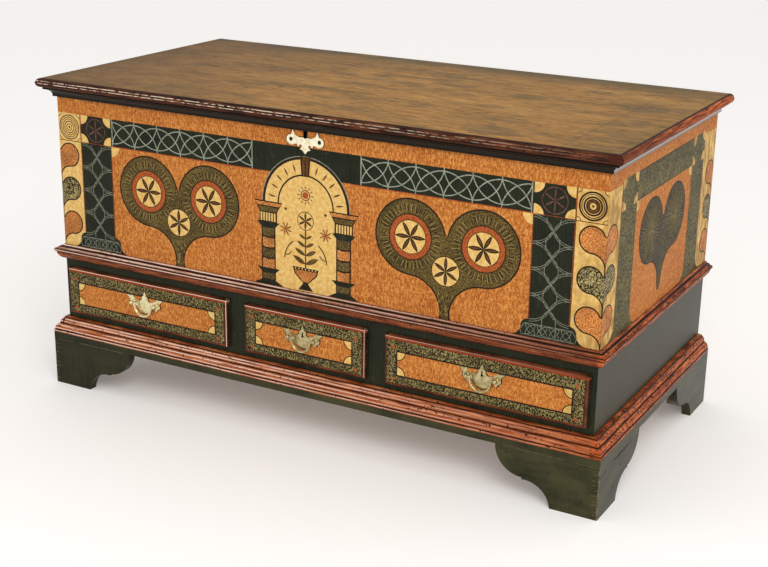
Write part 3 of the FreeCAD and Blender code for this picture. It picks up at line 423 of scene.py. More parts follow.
class Painting:
    """Coats of paint on a flat face, in mm: x to the right, y up, z out of the wood."""

    def __init__(self):
        self.coats = defaultdict(bmesh.new)
        self.strokes = 0

    def height(self, level):
        """The height of the next stroke: no two that cross lie in one plane."""
        self.strokes += 1
        return (level + 0.06 * (self.strokes % 16)) * COAT

    def shape(self, paint, level, start, *strokes):
        """A closed shape: (x, y) draws straight there, (x, y, degrees) turns about it."""
        bm = bmesh.new()
        height = self.height(level)
        last = bm.verts.new((*start, height))
        for x, y, *turn in strokes:
            if turn:
                arc = bmesh.ops.spin(bm, geom=[last], cent=(x, y, height), axis=Z,
                                     angle=math.radians(turn[0]),
                                     steps=max(3, round(abs(turn[0]) / FACET)))
                last = arc["geom_last"][0]
            else:
                point = bm.verts.new((x, y, height))
                bm.edges.new((last, point))
                last = point
        bm.verts.ensure_lookup_table()
        if (last.co - bm.verts[0].co).length > 0.05:
            bm.edges.new((last, bm.verts[0]))
        bmesh.ops.remove_doubles(bm, verts=bm.verts, dist=0.02)
        bmesh.ops.contextual_create(bm, geom=bm.edges[:])
        shape = bpy.data.meshes.new("shape")
        bm.to_mesh(shape)
        bm.free()
        self.coats[paint].from_mesh(shape)
        bpy.data.meshes.remove(shape)

    def turned(self, paint, level, x, *outline):
        """A shape alike to either side of x, from the (half width, y) of its outline."""
        self.shape(paint, level, *[(x - wide, y) for wide, y in outline],
                   *[(x + wide, y) for wide, y in reversed(outline)])

    def block(self, paint, level, x0, x1, y0, y1):
        """An upright rectangle."""
        self.bar(paint, level, (x0, (y0 + y1) / 2), (x1, (y0 + y1) / 2), y1 - y0)

    def bar(self, paint, level, start, end, width):
        """A straight stroke."""
        height = self.height(level)
        a, b = Vector((*start, height)), Vector((*end, height))
        turn = Matrix.Rotation(math.atan2(b.y - a.y, b.x - a.x), 4, "Z")
        size = Matrix.Diagonal(((b - a).length, width, 1, 1))
        bmesh.ops.create_grid(self.coats[paint], x_segments=1, y_segments=1, size=0.5,
                              matrix=Matrix.Translation((a + b) / 2) @ turn @ size)

    def disc(self, paint, level, centre, radius):
        """A filled circle."""
        place = Matrix.Translation((*centre, self.height(level)))
        bmesh.ops.create_circle(self.coats[paint], cap_ends=True, radius=radius,
                                segments=16 if radius < 5 else 48, matrix=place)

    def arc(self, paint, level, centre, radius, width, start=0.0, turn=360.0):
        """A stroke of the compasses, from start through turn degrees."""
        bm = self.coats[paint]
        height = self.height(level)
        ends = [bm.verts.new((*at(centre, start, radius + s * width / 2), height))
                for s in (-1, 1)]
        bmesh.ops.spin(bm, geom=[*ends, bm.edges.new(ends)], cent=(*centre, height), axis=Z,
                       angle=math.radians(turn), steps=max(4, round(abs(turn) / FACET)),
                       use_merge=abs(turn) > 359)

    def almond(self, paint, level, base, tip, degrees):
        """A leaf or petal between two arcs of the compasses."""
        a, b = Vector(base), Vector(tip)
        out = (b - a).length / 2 / math.tan(math.radians(degrees / 2))
        across = (b - a).normalized().orthogonal() * out
        middle = (a + b) / 2
        self.shape(paint, level, base, (*(middle + across), degrees),
                   (*(middle - across), degrees))

    def lay(self, name, body, place):
        """Lays the coats on a face as thin closed pieces that ride on a body."""
        for paint, drawn in self.coats.items():
            bm = drawn.copy()
            bm.transform(place)
            out = (place.to_3x3() @ Vector(Z)).normalized()
            bm.normal_update()
            bmesh.ops.reverse_faces(bm, faces=[f for f in bm.faces if f.normal.dot(out) < 0])
            back = bmesh.ops.extrude_face_region(bm, geom=bm.faces[:], use_keep_orig=True)
            for point in back["geom"]:
                if isinstance(point, bmesh.types.BMVert):
                    sunk = (point.co - place.translation).dot(out) + 2 * COAT * MM
                    point.co -= out * sunk
            bmesh.ops.recalc_face_normals(bm, faces=bm.faces)
            piece = new_piece(f"{name}_{paint.name}", bm, paint)
            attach(piece, body)


def linked(name, data):
    """A new object in the scene."""
    item = bpy.data.objects.new(name, data)
    bpy.context.collection.objects.link(item)
    return item


def new_piece(name, bm, material):
    """A finished piece from a bmesh in metres."""
    mesh = bpy.data.meshes.new(name)
    bm.to_mesh(mesh)
    bm.free()
    mesh.materials.append(material)
    return linked(name, mesh)


def rosette(art, centre, radius, first, level=5):
    """A compass rosette: cream disc in a dark ring, with six petals."""
    art.disc(OUTLINE, level, centre, radius + 1.5)
    art.disc(CREAM, level + 1, centre, radius)
    for angle in range(first, first + 360, 60):
        art.almond(OUTLINE, level + 2, centre, at(centre, angle, radius + 0.5), 58)
        art.almond(PETAL, level + 3, at(centre, angle, radius * 0.2),
                   at(centre, angle, radius * 0.86), 40)


def ring_marks(art, paint, level, centre, inner, outer, count, width, jitter=1.5):
    """Short strokes round a circle, set by hand."""
    for n in range(count):
        angle = 360 * (n + random.uniform(-0.2, 0.2)) / count
        low, high = [at(centre, angle, radius + random.uniform(-jitter, jitter))
                     for radius in (inner, outer)]
        art.bar(paint, level, low, high, width)


def quarter(art, paint, level, corner, radius, start):
    """A quarter of a disc, about one corner of a panel."""
    art.shape(paint, level, corner, at(corner, start, radius), (*corner, 90))


def heart(art, paint, x, top, spread, lobe, foot, notch, flare, line):
    """A compass heart in a dark line: two round lobes sweep down into a flared stem."""
    for tone, level, grow in ((OUTLINE, 2, line), (paint, 3, -line)):
        stem = spread - (top - lobe - foot - grow)
        bottom, wide = foot - flare[1], flare[0] + grow
        art.shape(tone, level, (x, top + notch + grow), at((x + spread, top), 165, lobe + grow),
                  (x + spread, top, -255), (x + spread, foot, 90), (x + wide, bottom),
                  (x - wide, bottom), (x - stem, foot), (x - spread, foot, 90),
                  (x - spread, top, -255))


def leaf(art, side, edge, middle, paint):
    """A round leaf beside a corner of the case; its tail runs down along the edge."""
    gap, radius = 27.0, 25.5
    x, foot = edge + side * gap, middle - radius - gap
    for tone, level, grow in ((OUTLINE, 3, 1.4), (paint, 4, -1.4)):
        sweep = gap - grow
        short = math.acos(min(1.0, gap / sweep))
        art.shape(tone, level, (edge, foot + sweep * math.sin(short)),
                  (edge, middle + 9 + grow), at((x, middle), 90 + side * 70, radius + grow),
                  (x, middle, -side * 250), (x, foot, side * (90 - math.degrees(short))))


def corner_strip(art, side, edge, width):
    """A cream strip at a corner of the case, with three leaves on a vine."""
    inner = edge + side * width
    art.block(CREAM, 1, min(edge, inner), max(edge, inner), WAIST, BAND[1])
    art.bar(PETAL, 2, (inner, WAIST), (inner, BAND[1]), 2)
    art.bar(OUTLINE, 2, (edge + side * 0.9, WAIST), (edge + side * 0.9, 545), 1.8)
    for middle, paint in ((537, LEAF), (461, WORM), (383.5, LEAF)):
        leaf(art, side, edge, middle, paint)


def pilaster(art, paint, x0, x1, top, round_out, hollow):
    """A painted pilaster whose foot rounds out, then hollows down to the waist moulding."""
    turn = WAIST + hollow
    left, right = x0 - round_out - hollow, x1 + round_out + hollow
    rounded, returned = [[(x, turn, 90)] if round_out else [] for x in (x0, x1)]
    art.shape(paint, 2, (x0, top), (x0, turn + round_out), *rounded, (left, turn, -90),
              (right, WAIST), (right, turn, -90), *returned, (x1, top))


def scribed_band(art, nodes):
    """Interlaced half circles, scribed from one node to the next but one."""
    low, high = BAND[0] + 6, BAND[1] - 6
    step, rise = abs(nodes[1] - nodes[0]), high - low
    radius = (step * step + rise * rise) / (2 * rise)
    reach = math.degrees(math.acos(step / radius))
    for x in nodes:
        end = x in (nodes[0], nodes[-1])
        start = 90 if x == nodes[-1] else reach
        turn = 90 - reach if end else 180 - 2 * reach
        art.arc(SCRIBED, 2, (x, high - radius), radius, 2.2, start, turn)
        art.arc(SCRIBED, 2, (x, low + radius), radius, 2.2, -start - turn, turn)
        art.bar(SCRIBED, 2, (x, high if end else low), (x, BAND[0]), 2.2)
        art.bar(SCRIBED, 2, (x, high), (x, BAND[1]), 2.2)


def scribed_pilaster(art, x0, x1, levels):
    """Doubled curves that cross between the levels, and a chain of lenses over them."""
    middle, half = (x0 + x1) / 2, (x1 - x0) / 2 - 1
    rise, bulge = (levels[0] - levels[1]) / 2, 14
    radius = (half * half + rise * rise) / (2 * rise)
    turn = math.degrees(math.atan2(half, radius - rise))
    for high, low in zip(levels, levels[1:]):
        for x, first in ((middle - half, 90 - turn), (middle + half, 90)):
            for shift in (-2.2, 2.2):
                for y, start in ((high - radius, first), (low + radius, -first - turn)):
                    art.arc(DIM_SCRIBED, 3, (x, y + shift), radius, 1.3, start, turn)
    bow = (bulge * bulge + rise * rise) / (2 * bulge)
    swing = math.degrees(math.asin(rise / bow))
    for level in levels:
        above, below = (level < levels[0]) * swing, (level > levels[-1]) * swing
        for side, start in ((-1, 180 - above), (1, -below)):
            art.arc(DIM_SCRIBED, 4, (middle + side * (bulge - bow), level), bow, 1.4, start,
                    above + below)
    for x in (middle - bulge, middle + bulge):
        art.bar(DIM_SCRIBED, 4, (x, levels[-1]), (x, WAIST + 2), 1.3)


def scribed_foot(art, middle):
    """A bordered band of crossing arcs, scribed across a pilaster's foot."""
    low, high = WAIST + 3, WAIST + 26
    for n in range(5):
        x = middle + 24 * (n - 2)
        first, turn = {0: (0, 90), 4: (90, 90)}.get(n, (0, 180))
        art.arc(DIM_SCRIBED, 3, (x, low), 22, 1.2, first, turn)
        art.arc(DIM_SCRIBED, 3, (x, high), 22, 1.2, -first - turn, turn)
    ends = [[(middle + side * 48, high), (middle + side * 57, low + 9),
             (middle + side * 54, low)] for side in (-1, 1)]
    for above, shoulder, below in ends:
        art.bar(DIM_SCRIBED, 3, above, shoulder, 1.3)
        art.bar(DIM_SCRIBED, 3, shoulder, below, 1.3)
    for n in (0, 2):
        art.bar(DIM_SCRIBED, 3, ends[0][n], ends[1][n], 1.3)


def target(art, centre):
    """Rings about one point."""
    for radius, width in ((26.3, 2.0), (21.8, 1.5), (17.4, 1.5), (12.6, 1.8), (7, 1.4)):
        art.arc(OUTLINE, 3, centre, radius, width)
    art.disc(OUTLINE, 3, centre, 2.2)


def corner_block(art, x0, x1, low, high, radius):
    """A square over a pilaster, with a cream quarter circle in each corner."""
    for n, corner in enumerate(((x0, low), (x1, low), (x1, high), (x0, high))):
        quarter(art, CREAM, 3, corner, radius, 90 * n)


def front_half():
    """The left half of the front's painting, which the right half mirrors."""
    art = Painting()
    left, right = POST
    middle = (left + right) / 2
    corner_strip(art, 1, -END, 61)
    art.bar(PETAL, 3, (-END, PILLAR), (left - 1, PILLAR), 1.6)
    for x, y, start in ((-634, BAND[1], 270), (-575, BAND[1], 180),
                        (-634, PILLAR, 0), (-575, PILLAR, 90)):
        art.arc(PETAL, 3, (x, y), 8, 1.4, start, 90)
    target(art, (-TARGET, SQUARE))
    pilaster(art, GREEN, left, right, PILLAR, 15, 20)
    scribed_pilaster(art, left, right, (566, 515, 464.5, 414, 363))
    scribed_foot(art, middle)
    art.block(GREEN, 2, left, right, PILLAR, BAND[1])
    corner_block(art, left, right, PILLAR, BAND[1], 20)
    star = (middle, SQUARE)
    art.arc(DARK_RED, 3, star, 25, 1.7)
    for angle in range(30, 390, 60):
        art.almond(DARK_RED, 3, star, at(star, angle, 24), 32)
    art.block(GREEN, 1, right, -0.01, *BAND)
    art.bar(RED, 2, (right, BAND[0] - 1), (-104, BAND[0] - 1), 2)
    scribed_band(art, range(-487, -126, 60))
    quarter(art, CREAM, 2, (right, BAND[0] - 2), 21, 270)
    for x, top in ((left, BAND[1]), (right, PILLAR)):
        art.bar(EDGE_RED, 4, (x, 366), (x, top), 1.5)
    art.bar(EDGE_RED, 4, (left, PILLAR + 0.8), (right, PILLAR + 0.8), 1.3)
    painted_heart(art, *HEART)
    column(art, -89)
    for n in range(5):
        angle = 101 + 15.5 * (n + 0.5)
        art.almond(PETAL, 4, at(ARCH, angle, 71), at(ARCH, angle, 90), 44)
    return art


def painted_heart(art, x, top):
    """One of the two hearts on the front."""
    spread = 78
    heart(art, OLIVE, x, top, spread, lobe=76, foot=339, notch=8, flare=(11, 9), line=1.6)
    for centre in ((x - spread, top), (x + spread, top)):
        art.arc(OUTLINE, 4, centre, 45.5, 2)
        art.arc(RED, 4, centre, 39.5, 10)
        rosette(art, centre, 33, 0)
        ring_marks(art, OUTLINE, 4, centre, 52, 63, 46, 1.7)
        ring_marks(art, DABS, 4, centre, 50, 65, 40, 1.2)
    rosette(art, (x, 427), 29, 30)
    for n in range(34):
        y = random.uniform(335, 392)
        wide = 9 + max(0, y - 350) * 0.35
        dab = x + random.uniform(-wide, wide)
        art.bar(DABS if n % 2 else OUTLINE, 4, (dab, y), (dab + random.uniform(-3, 3), y + 6),
                1.3)


def column(art, x):
    """The column at the left of the niche, drawn from its foot to its capital."""
    art.turned(GREEN, 4, x, (15, 346), (15, 341), (36, 330))
    art.block(OUTLINE, 4, x - 17, x + 17, 341, 460)
    for low, high, paint in ((342, 355, OLIVE), (366, 386, LEAF), (388.5, 408, OLIVE),
                             (410.5, 431, LEAF), (433.5, 453, OLIVE)):
        art.block(paint, 5, x - 14, x + 14, low, high)
    for y in (386, 408, 431):
        art.arc(OUTLINE, 6, (x, y + 29), 29, 2.6, 241, 58)
    for low, high in ((355, 366), (452, 464)):
        art.turned(GREEN, 6, x, (15, low), (27, high))
    art.block(OUTLINE, 5, x - 21, x + 21, 464, 485)
    for n in range(6):
        art.block(CREAM, 6, x - 18.5 + 6.4 * n, x - 14.6 + 6.4 * n, 466, 483.5)
    art.turned(OUTLINE, 5, x, (20, 484), (34, 508))
    art.turned(OLIVE, 6, x, (18.5, 486), (25, 496))
    art.turned(LEAF, 6, x, (27, 498.5), (31.5, 505.5))


def front():
    """The whole front: both halves, and the arched niche between them."""
    art = front_half()
    for bm in art.coats.values():
        bmesh.ops.mirror(bm, geom=bm.verts[:] + bm.edges[:] + bm.faces[:], axis="X",
                         merge_dist=-1)
    art.arc(OUTLINE, 2, ARCH, 82, 40, 0, 180)
    art.arc(CREAM, 3, ARCH, 81.5, 30, 0, 180)
    art.arc(SCRIBED, 2, ARCH, 103, 1.4, 0, 180)
    art.shape(CREAM, 3, (-73, WAIST), (73, WAIST), (73, 500), (63, 500), (63, ARCH[1]),
              (*ARCH, 180), (-63, 500), (-73, 500))
    art.turned(PETAL, 4, 0, (9, 570), (12.5, 611))
    for x in (-7, 0, 7):
        art.bar(OUTLINE, 5, (x, 571), (x * 1.35, 610), 2.4)
    art.arc(FAINT, 1, (-284, 344), 12, 1.2)
    plant(art)
    # Dark discs that show through the escutcheon's ring holes: painted shadow.
    for x in (-33, 33):
        art.disc(OUTLINE, 6, (x, 643.5), 4.8)
    art.arc(PETAL, 2, (TARGET, SQUARE), 10.2, 7)
    for radius in (25.8, 16.8):
        art.arc(OUTLINE, 4, (TARGET, SQUARE), radius, 3.2)
    return art


def plant(art):
    """A plain plant in a footed bowl: paired leaves, two pinwheels and a compass flower."""
    art.turned(OUTLINE, 4, 0, (18, 332), (11, 340), (6, 347), (27, 366), (31, 380))
    art.turned(LEAF, 5, 0, (6, 350), (24, 367), (27, 374))
    for x in range(-24, 25, 8):
        art.disc(CREAM, 5, (x, 377), 1.6)
    art.bar(PETAL, 4, (0, 380), (0, 462), 3.2)
    for n, y in enumerate((388, 406, 424, 441)):
        for side in (-1, 1):
            stem, tip = Vector((0, y)), Vector((side * (30 - 5 * n), 15 - 2 * n))
            art.almond(PETAL, 4, stem, stem + tip, 70)
            art.almond(OLIVE, 5, stem + tip * 0.16, stem + tip * 0.86, 56)
    rosette(art, (0, 479), 18, 30)
    for x, bend, droop in ((-47, 126, 270), (47, 4, 200)):
        art.arc(PETAL, 4, (0, 392), 50, 2.8, bend, 50)
        pinwheel(art, (x, 456), 15)
        art.arc(PETAL, 4, (x, 416), 14, 2.4, droop, 70)
        art.disc(PETAL, 4, (x, 498), 3)
    art.disc(RED, 5, EYE, 7)
    art.arc(PETAL, 5, EYE, 10, 2)
    for angle in range(0, 360, 30):
        art.almond(PETAL, 5, at(EYE, angle, 12), at(EYE, angle, 20), 50)


def pinwheel(art, centre, radius):
    """A flower of eight leaning petals round a red eye."""
    lean = 28.648                  # degrees from a petal's base to its tip
    for angle in range(0, 360, 45):
        for paint, level, start, share, degrees in ((PETAL, 5, 3, 1, 64),
                                                    (LEAF, 6, 5.5, 0.84, 44)):
            art.almond(paint, level, at(centre, angle, start),
                       at(centre, angle + lean, radius * share), degrees)
    art.disc(RED, 6, centre, 4)


def end_face():
    """The painting of one end of the chest, with the front at its left."""
    art = Painting()
    left, right, top, edge = -170, 162, 577, 636
    corner_strip(art, 1, -320, 66)
    corner_strip(art, -1, 320, 80)
    for x0, x1, flare in ((-252, left, 38), (right, 240, 36)):
        pilaster(art, END_OLIVE, x0, x1, top, 0, flare)
        art.block(END_OLIVE, 2, x0, x1, top, edge)
        corner_block(art, x0, x1, top, edge, 19)
    art.block(END_OLIVE, 1, left, right, top + 3, edge - 2)
    for y in (top + 2, edge - 1):
        art.bar(OUTLINE, 2, (left, y), (right, y), 1.6)
    for x, start in ((left, 270), (right, 180)):
        quarter(art, CREAM, 2, (x, top + 1), 20, start)
    x, y, spread = -4, 498, 70
    heart(art, DEEP_OLIVE, x, y, spread, lobe=66, foot=372, notch=12, flare=(3, 16), line=1.5)
    for centre in ((x - spread, y), (x + spread, y)):
        ring_marks(art, OUTLINE, 4, centre, 8, 56, 46, 1.3, 5)
        ring_marks(art, SCRATCH, 5, centre, 7, 50, 40, 1.2, 9)
    return art


def drawer_face(width):
    """The painting of one drawer front: stippled border, corner quarters, red dots."""
    art = Painting()
    edge, inner, bottom, top = width / 2 - LIP, width / 2 - 30, 197, 248
    for x0, x1, y0, y1 in ((-edge, edge, top, DRAWER_HIGH - LIP),
                           (-edge, edge, DRAWER_LOW + LIP, bottom),
                           (-edge, -inner, bottom, top), (inner, edge, bottom, top)):
        art.block(BORDER, 1, x0, x1, y0, y1)
    for y in (bottom, top):
        art.bar(OUTLINE, 2, (-inner - 1.5, y), (inner + 1.5, y), 3)
    for x in (-inner, inner):
        art.bar(OUTLINE, 2, (x, bottom), (x, top), 3)
    for n, (side, rise) in enumerate(((-1, -1), (1, -1), (1, 1), (-1, 1))):
        x, y = side * inner, top if rise > 0 else bottom
        quarter(art, CREAM, 1, (x, y), 19, 90 * n)
        art.arc(OUTLINE, 2, (x, y), 19, 2, 90 * n, 90)
        art.disc(RED, 2, (x + side * 8, y + rise * 8), 4)
    return art


def facing(right, out, origin):
    """The place of a drawing on an upright face, from mm to metres."""
    turn = Matrix((right, Z, out)).transposed().to_4x4()
    return Matrix.Translation(Vector(origin) * MM) @ turn @ Matrix.Scale(MM, 4)


front().lay("front", "case", facing(X, OUT, (0, FRONT, 0)))
for name, side in (("left_end", -1), ("right_end", 1)):
    end_face().lay(name, "case", facing(Y, (side, 0, 0), (side * END, MIDDLE, 0)))
for name, (x, width) in DRAWERS.items():
    drawer_face(width).lay(name + "_drawer", name + "_drawer", facing(X, OUT, (x, FIELD, 0)))


def marks_of_use():
    """Nail heads, a crack at the near foot, the seam over the front feet, their scuffs."""
    art = Painting()
    for place in ((-200.4, 224.7), (-96, 262), (84, 198)):
        art.disc(OUTLINE, 1, place, 2.4)
    art.lay("end_nails", "case", facing(Y, X, (END, MIDDLE, 0)))
    art = Painting()
    for place in ((318, 56.6), (-262, 40.5), (-226, 72), (268, 84)):
        art.disc(OUTLINE, 1, place, 2.6)
    art.shape(OUTLINE, 1, (-268, 95.5), (-236, 92), (-166, 98.4), (-238, 98.5))
    art.bar(OUTLINE, 1, (-337, 84), (-300, 91), 1.4)
    art.lay("foot_cracks", "case", facing(Y, X, (END + 26, 0, 0)))
    art = Painting()
    for side in (-1, 1):
        for paint, x0, z0, x1, z1, wide in ((SEAM, 462, 109.2, 588, 108, 1.3),
                                            (SEAM, 604, 107.4, 654, 106, 1.0),
                                            (OUTLINE, 588, 107, 660.5, 104, 1.4)):
            art.bar(paint, 1, (side * x0, z0), (side * x1, z1), wide)
        for x, z in ((648.5, 86.5), (627, 30), (470, 96), (559, 74)):
            art.disc(OUTLINE, 1, (side * x, z), 1.8)
        for n in range(9):
            z = 6 + 10.5 * n + random.uniform(0, 6)
            art.bar(SEAM, 1, (side * random.uniform(644, 656), z), (side * 660, z + 0.6), 1.3)
    art.lay("front_foot_marks", "case", facing(X, OUT, (0, FRONT - 26, 0)))


def dark_rim_round(name, node, body, face, grow, middle):
    """A dark rim laid on the paint round a brass plate, a little past its edge."""
    bm = bmesh.new()
    bm.from_mesh(frame["nodes"][node].data)
    bmesh.ops.remove_doubles(bm, verts=bm.verts, dist=0.02 * MM)
    centre = Vector((middle[0], 0, middle[1])) * MM
    low, high = min(v.co.y for v in bm.verts), max(v.co.y for v in bm.verts)
    for vert in bm.verts:
        away = (vert.co - centre) * Vector((1, 0, 1))
        vert.co += away * grow * MM / max(away.length, 5 * MM)
        vert.co.y = (face - 0.25 if vert.co.y < (low + high) / 2 else face - 0.05) * MM
    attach(new_piece(name, bm, OUTLINE), body)


marks_of_use()
for name, (x, width) in DRAWERS.items():
    dark_rim_round(name + "_plate_dirt", name + "_pull_plate", name + "_drawer", FIELD, 2.0,
               (x, PULL))
dark_rim_round("escutcheon_dark_rim", "chest_escutcheon", "case", FRONT - 0.3, 1.6, (0, 640))


# ---- CAD nodes ----------------------------
def dress(material, *names):
    """Gives CAD nodes a finish."""
    for name in names:
        for slot in frame["nodes"][name].material_slots:
            slot.material = material


dress(case_board("case_front_board_paint", "x"), "front_board", "back_board")
dress(case_board("case_end_board_paint", "y"), "left_end_board", "right_end_board")
dress(WOOD_X, "chest_floor", "bottom_board", "till_front", "till_bottom")
dress(part_painted("painted_rails", "x", FRONT + SKIN, END, 0.0), "drawer_top_rail",
      "drawer_bottom_rail", "drawer_dividers")
dress(part_painted("painted_base_frame", "x", FRONT - 25, END + 25, 0.6),
      "base_frame_front", "base_frame_sides", "base_frame_back")
dress(part_painted("painted_bracket_feet", "x", FRONT - 5.5, END + 6.5, 0.6),
      "front_left_foot", "front_right_foot", "rear_left_foot", "rear_right_foot")
dress(WOOD_Y, "drawer_runners", "drawer_guides", "till_lid")
dress(WOOD_Z, "foot_blocks")
dress(WAIST_PAINT, "waist_moulding_front", "waist_moulding_sides")
dress(BASE_PAINT, "base_moulding_front", "base_moulding_sides")
dress(NOSING, "lid_moulding_front")
dress(END_NOSING, "lid_moulding_sides")
dress(LID_TOP, "lid_board")
dress(IRON, "chest_lock_case", "chest_lock_bolt", "case_hinge_leaves", "lid_hinge_straps",
      "lid_lock_catch")
dress(BRIGHT_BRASS, "chest_escutcheon")


# ---- hardware -----------------------------
def finished(name, bm, material, body, *nodes):
    """A smooth piece drawn in mm, riding on a body, in place of any nodes named."""
    bmesh.ops.remove_doubles(bm, verts=bm.verts, dist=0.005)
    bmesh.ops.recalc_face_normals(bm, faces=bm.faces)
    bm.transform(Matrix.Scale(MM, 4))
    for face in bm.faces:
        face.smooth = True
    for edge in bm.edges:
        edge.smooth = edge.calc_face_angle(0) < math.radians(40)
    piece = new_piece(name, bm, material)
    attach(piece, body)
    if nodes:
        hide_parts(*nodes)


def lathed(bm, rim, centre, axis, steps):
    """Turns an outline of places about an axis, closed round."""
    points = [bm.verts.new(place) for place in rim]
    edges = [bm.edges.new(pair) for pair in zip(points, points[1:])]
    bmesh.ops.spin(bm, geom=points + edges, cent=centre, axis=axis, angle=2 * math.pi,
                   steps=steps, use_merge=True)


def bent_bail(middle):
    """A cast bail: a round bar, from a pin by an elbow round a half ring, stout below."""
    bm = bmesh.new()
    ring, pin, shank = 24, 9.3, 4          # the ring's radius, and lengths of straight bar
    place = Matrix.Translation((middle + ring + pin, BAIL, PULL))
    bar = bmesh.ops.create_circle(bm, segments=14, radius=1.94,
                                  matrix=place @ Matrix.Rotation(math.pi / 2, 4, "Y"))["verts"]
    bar += bm.edges[:]
    hub = Vector((middle, BAIL, PULL - 6))
    right, left = [hub + Vector((x, 0, shank)) for x in (ring, -ring)]
    for centre, angle, steps, way in (
            (hub, 0, 1, (-pin, 0, 0)), (right, -90, 5, (0, 0, 0)), (hub, 0, 1, (0, 0, -shank)),
            (hub, 180, 26, (0, 0, 0)), (hub, 0, 1, (0, 0, shank)), (left, -90, 5, (0, 0, 0)),
            (hub, 0, 1, (-pin, 0, 0))):
        bar = bmesh.ops.spin(bm, geom=bar, cent=centre, axis=Y, dvec=way, steps=steps,
                             angle=math.radians(angle))["geom_last"]
    bmesh.ops.holes_fill(bm, edges=bm.edges, sides=0)
    for vert in bm.verts:
        spoke = ((vert.co - hub) * Vector((1, 0, 1))).normalized()
        if spoke.z < 0:
            core = hub + spoke * ring
            vert.co = core + (vert.co - core) * (1 + 0.4 * abs(spoke.z))
    return bm


def turned_posts(middle):
    """Two posts turned with a button head, neck and collar, square behind, with their nuts."""
    bm = bmesh.new()
    outline = ((0, -337.0), (2.6, -336.8), (4.0, -335.6), (4.6, -333.6), (4.6, -331.2),
               (3.9, -329.2), (2.9, -328.0), (2.9, -326.6), (4.4, -325.6), (4.4, -324.8),
               (0, -324.8))
    for x in (middle - 31, middle + 31):
        lathed(bm, [(x + radius, y, PULL) for radius, y in outline], (x, 0, PULL), Y, 20)
        for wide, near, far in ((3.6, -324.8, -299.8), (13, -299.8, -296.8)):
            place = Matrix.Translation((x, (near + far) / 2, PULL))
            size = Matrix.Diagonal((wide, far - near, wide, 1))
            bmesh.ops.create_cube(bm, size=1, matrix=place @ size)
    return bm


def heads(places, out, radius, rise):
    """Low domed heads of pins or screws, standing out of a face along an axis."""
    bm = bmesh.new()
    turn = Vector(Z).rotation_difference(Vector(out)).to_matrix().to_4x4()
    for place in places:
        lathed(bm, [(radius * r, 0, rise * h) for r, h in
                    ((1, -0.4), (1, 0.1), (0.8, 0.6), (0.4, 0.93), (0, 1))], (0, 0, 0), Z, 10)
        made = {v for v in bm.verts if not v.tag}
        bmesh.ops.transform(bm, matrix=Matrix.Translation(place) @ turn, verts=list(made))
        for vert in made:
            vert.tag = True
    bmesh.ops.holes_fill(bm, edges=bm.edges, sides=0)
    return bm


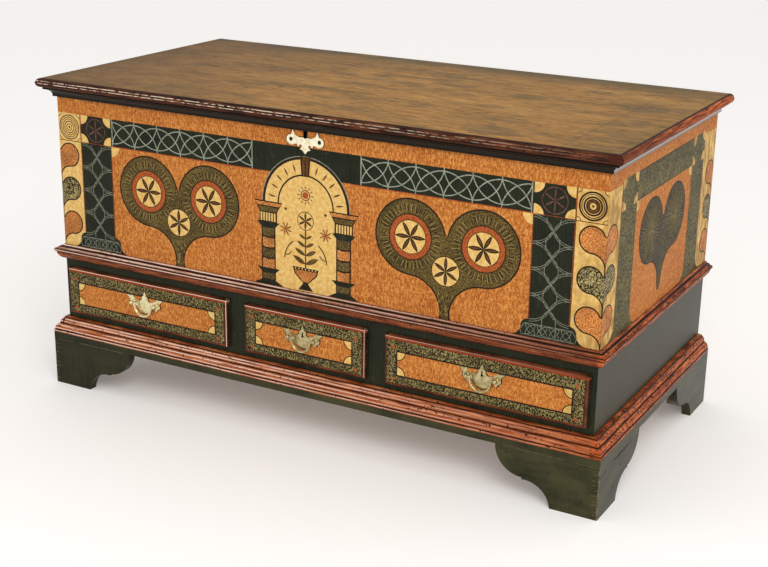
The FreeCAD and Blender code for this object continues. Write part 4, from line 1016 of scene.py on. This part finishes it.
for side, (middle, width) in DRAWERS.items():
    drawer, metal = side + "_drawer", PALE_BRASS if side == "left" else BRASS
    dress(drawer_front_paint(drawer + "_front_paint", middle, width), drawer + "_front")
    dress(WOOD_Y, drawer + "_sides", drawer + "_bottom")
    dress(WOOD_X, drawer + "_back")
    dress(metal, side + "_pull_plate", side + "_pull_posts", side + "_bail")
    if side != "left":
        dress(IRON, side + "_lock_case", side + "_lock_bolt")
    finished(side + "_bent_bail", bent_bail(middle), metal, side + "_bail", side + "_bail")
    finished(side + "_turned_posts", turned_posts(middle), metal, drawer,
             side + "_pull_posts")
for name, body, metal, out, radius, rise, places in (
        ("escutcheon_pins", "case", BRIGHT_BRASS, OUT, 1.6, 0.9,
         [(x, FRONT - 1, z) for x, z in ((-26.5, 646), (26.5, 646), (0, 619))]),
        ("strap_nails", "lid", IRON, (0, 0, -1), 3.4, 1.2,
         [(x + s, y, 679.3) for x in STRAPS for s, y in
          ((-6, 300), (6, 250), (-5, 190), (5, 130), (0, 60))]),
        ("leaf_nails", "case", IRON, Y, 3.4, 1.2,
         [(x + s, 331.5, z) for x in STRAPS for s, z in
          ((-9, 662), (9, 662), (0, 640), (-9, 616), (9, 616))]),
        ("chest_lock_nails", "case", IRON, Y, 2.6, 1.0,
         [(x, -283.5, z) for x in (-41, 41) for z in (631, 674)])):
    finished(name, heads(places, out, radius, rise), metal, body)


# ---- floor, light and camera --------------
scene = bpy.context.scene
scene.view_settings.view_transform = "Standard"
FLOOR_LIFT = 0.14              # light that the floor itself shows to the camera


def floor():
    """A plain pale floor, which the camera sees a little lighter than it lights."""
    material = finish("matt_white_paper", Roughness=0.9, Base_Color="F2F1F0",
                      Emission_Color="FFFDFB",
                      Emission_Strength=(BOTH, chain(MOST, *RAYS), FLOOR_LIFT))
    bm = bmesh.new()
    bmesh.ops.create_grid(bm, x_segments=1, y_segments=1, size=30)
    piece = new_piece("floor", bm, material)


def lamp(name, place, aim, size, power, tint):
    """A soft rectangular lamp."""
    light = bpy.data.lights.new(name, "AREA")
    light.shape = "RECTANGLE"
    light.size, light.size_y = size
    light.energy = power
    light.color = linear(tint)[:3]
    item = linked(name, light)
    item.location = place
    item.rotation_euler = (Vector(aim) - Vector(place)).to_track_quat("-Z", "Y").to_euler()


def world(strength):
    """Even light from all round."""
    sky = bpy.data.worlds.new("studio")
    sky.use_nodes = True
    ground = sky.node_tree.nodes["Background"]
    ground.inputs["Color"].default_value = linear("F9F7F5")
    ground.inputs["Strength"].default_value = strength
    scene.world = sky


def camera(place, yaw, pitch, roll, lens):
    """The camera, from its place, the way it faces in degrees and its lens in mm."""
    face, tip, lean = [Matrix.Rotation(math.radians(angle), 4, axis) for angle, axis in
                       ((yaw, "Z"), (90 - pitch, "X"), (roll, "Z"))]
    data = bpy.data.cameras.new("camera")
    data.lens = lens
    data.sensor_width = 36.0
    scene.camera = linked("camera", data)
    scene.camera.matrix_world = Matrix.Translation(place) @ face @ tip @ lean


floor()
world(strength=0.88)
lamp("key", place=(2.4, -3.2, 3.2), aim=(0, 0, 0.3), size=(2.4, 1.8), power=90, tint="FFFDFB")
camera((1.4601, -2.6228, 1.2666), yaw=28.947, pitch=18.568, roll=0.885, lens=66.42)
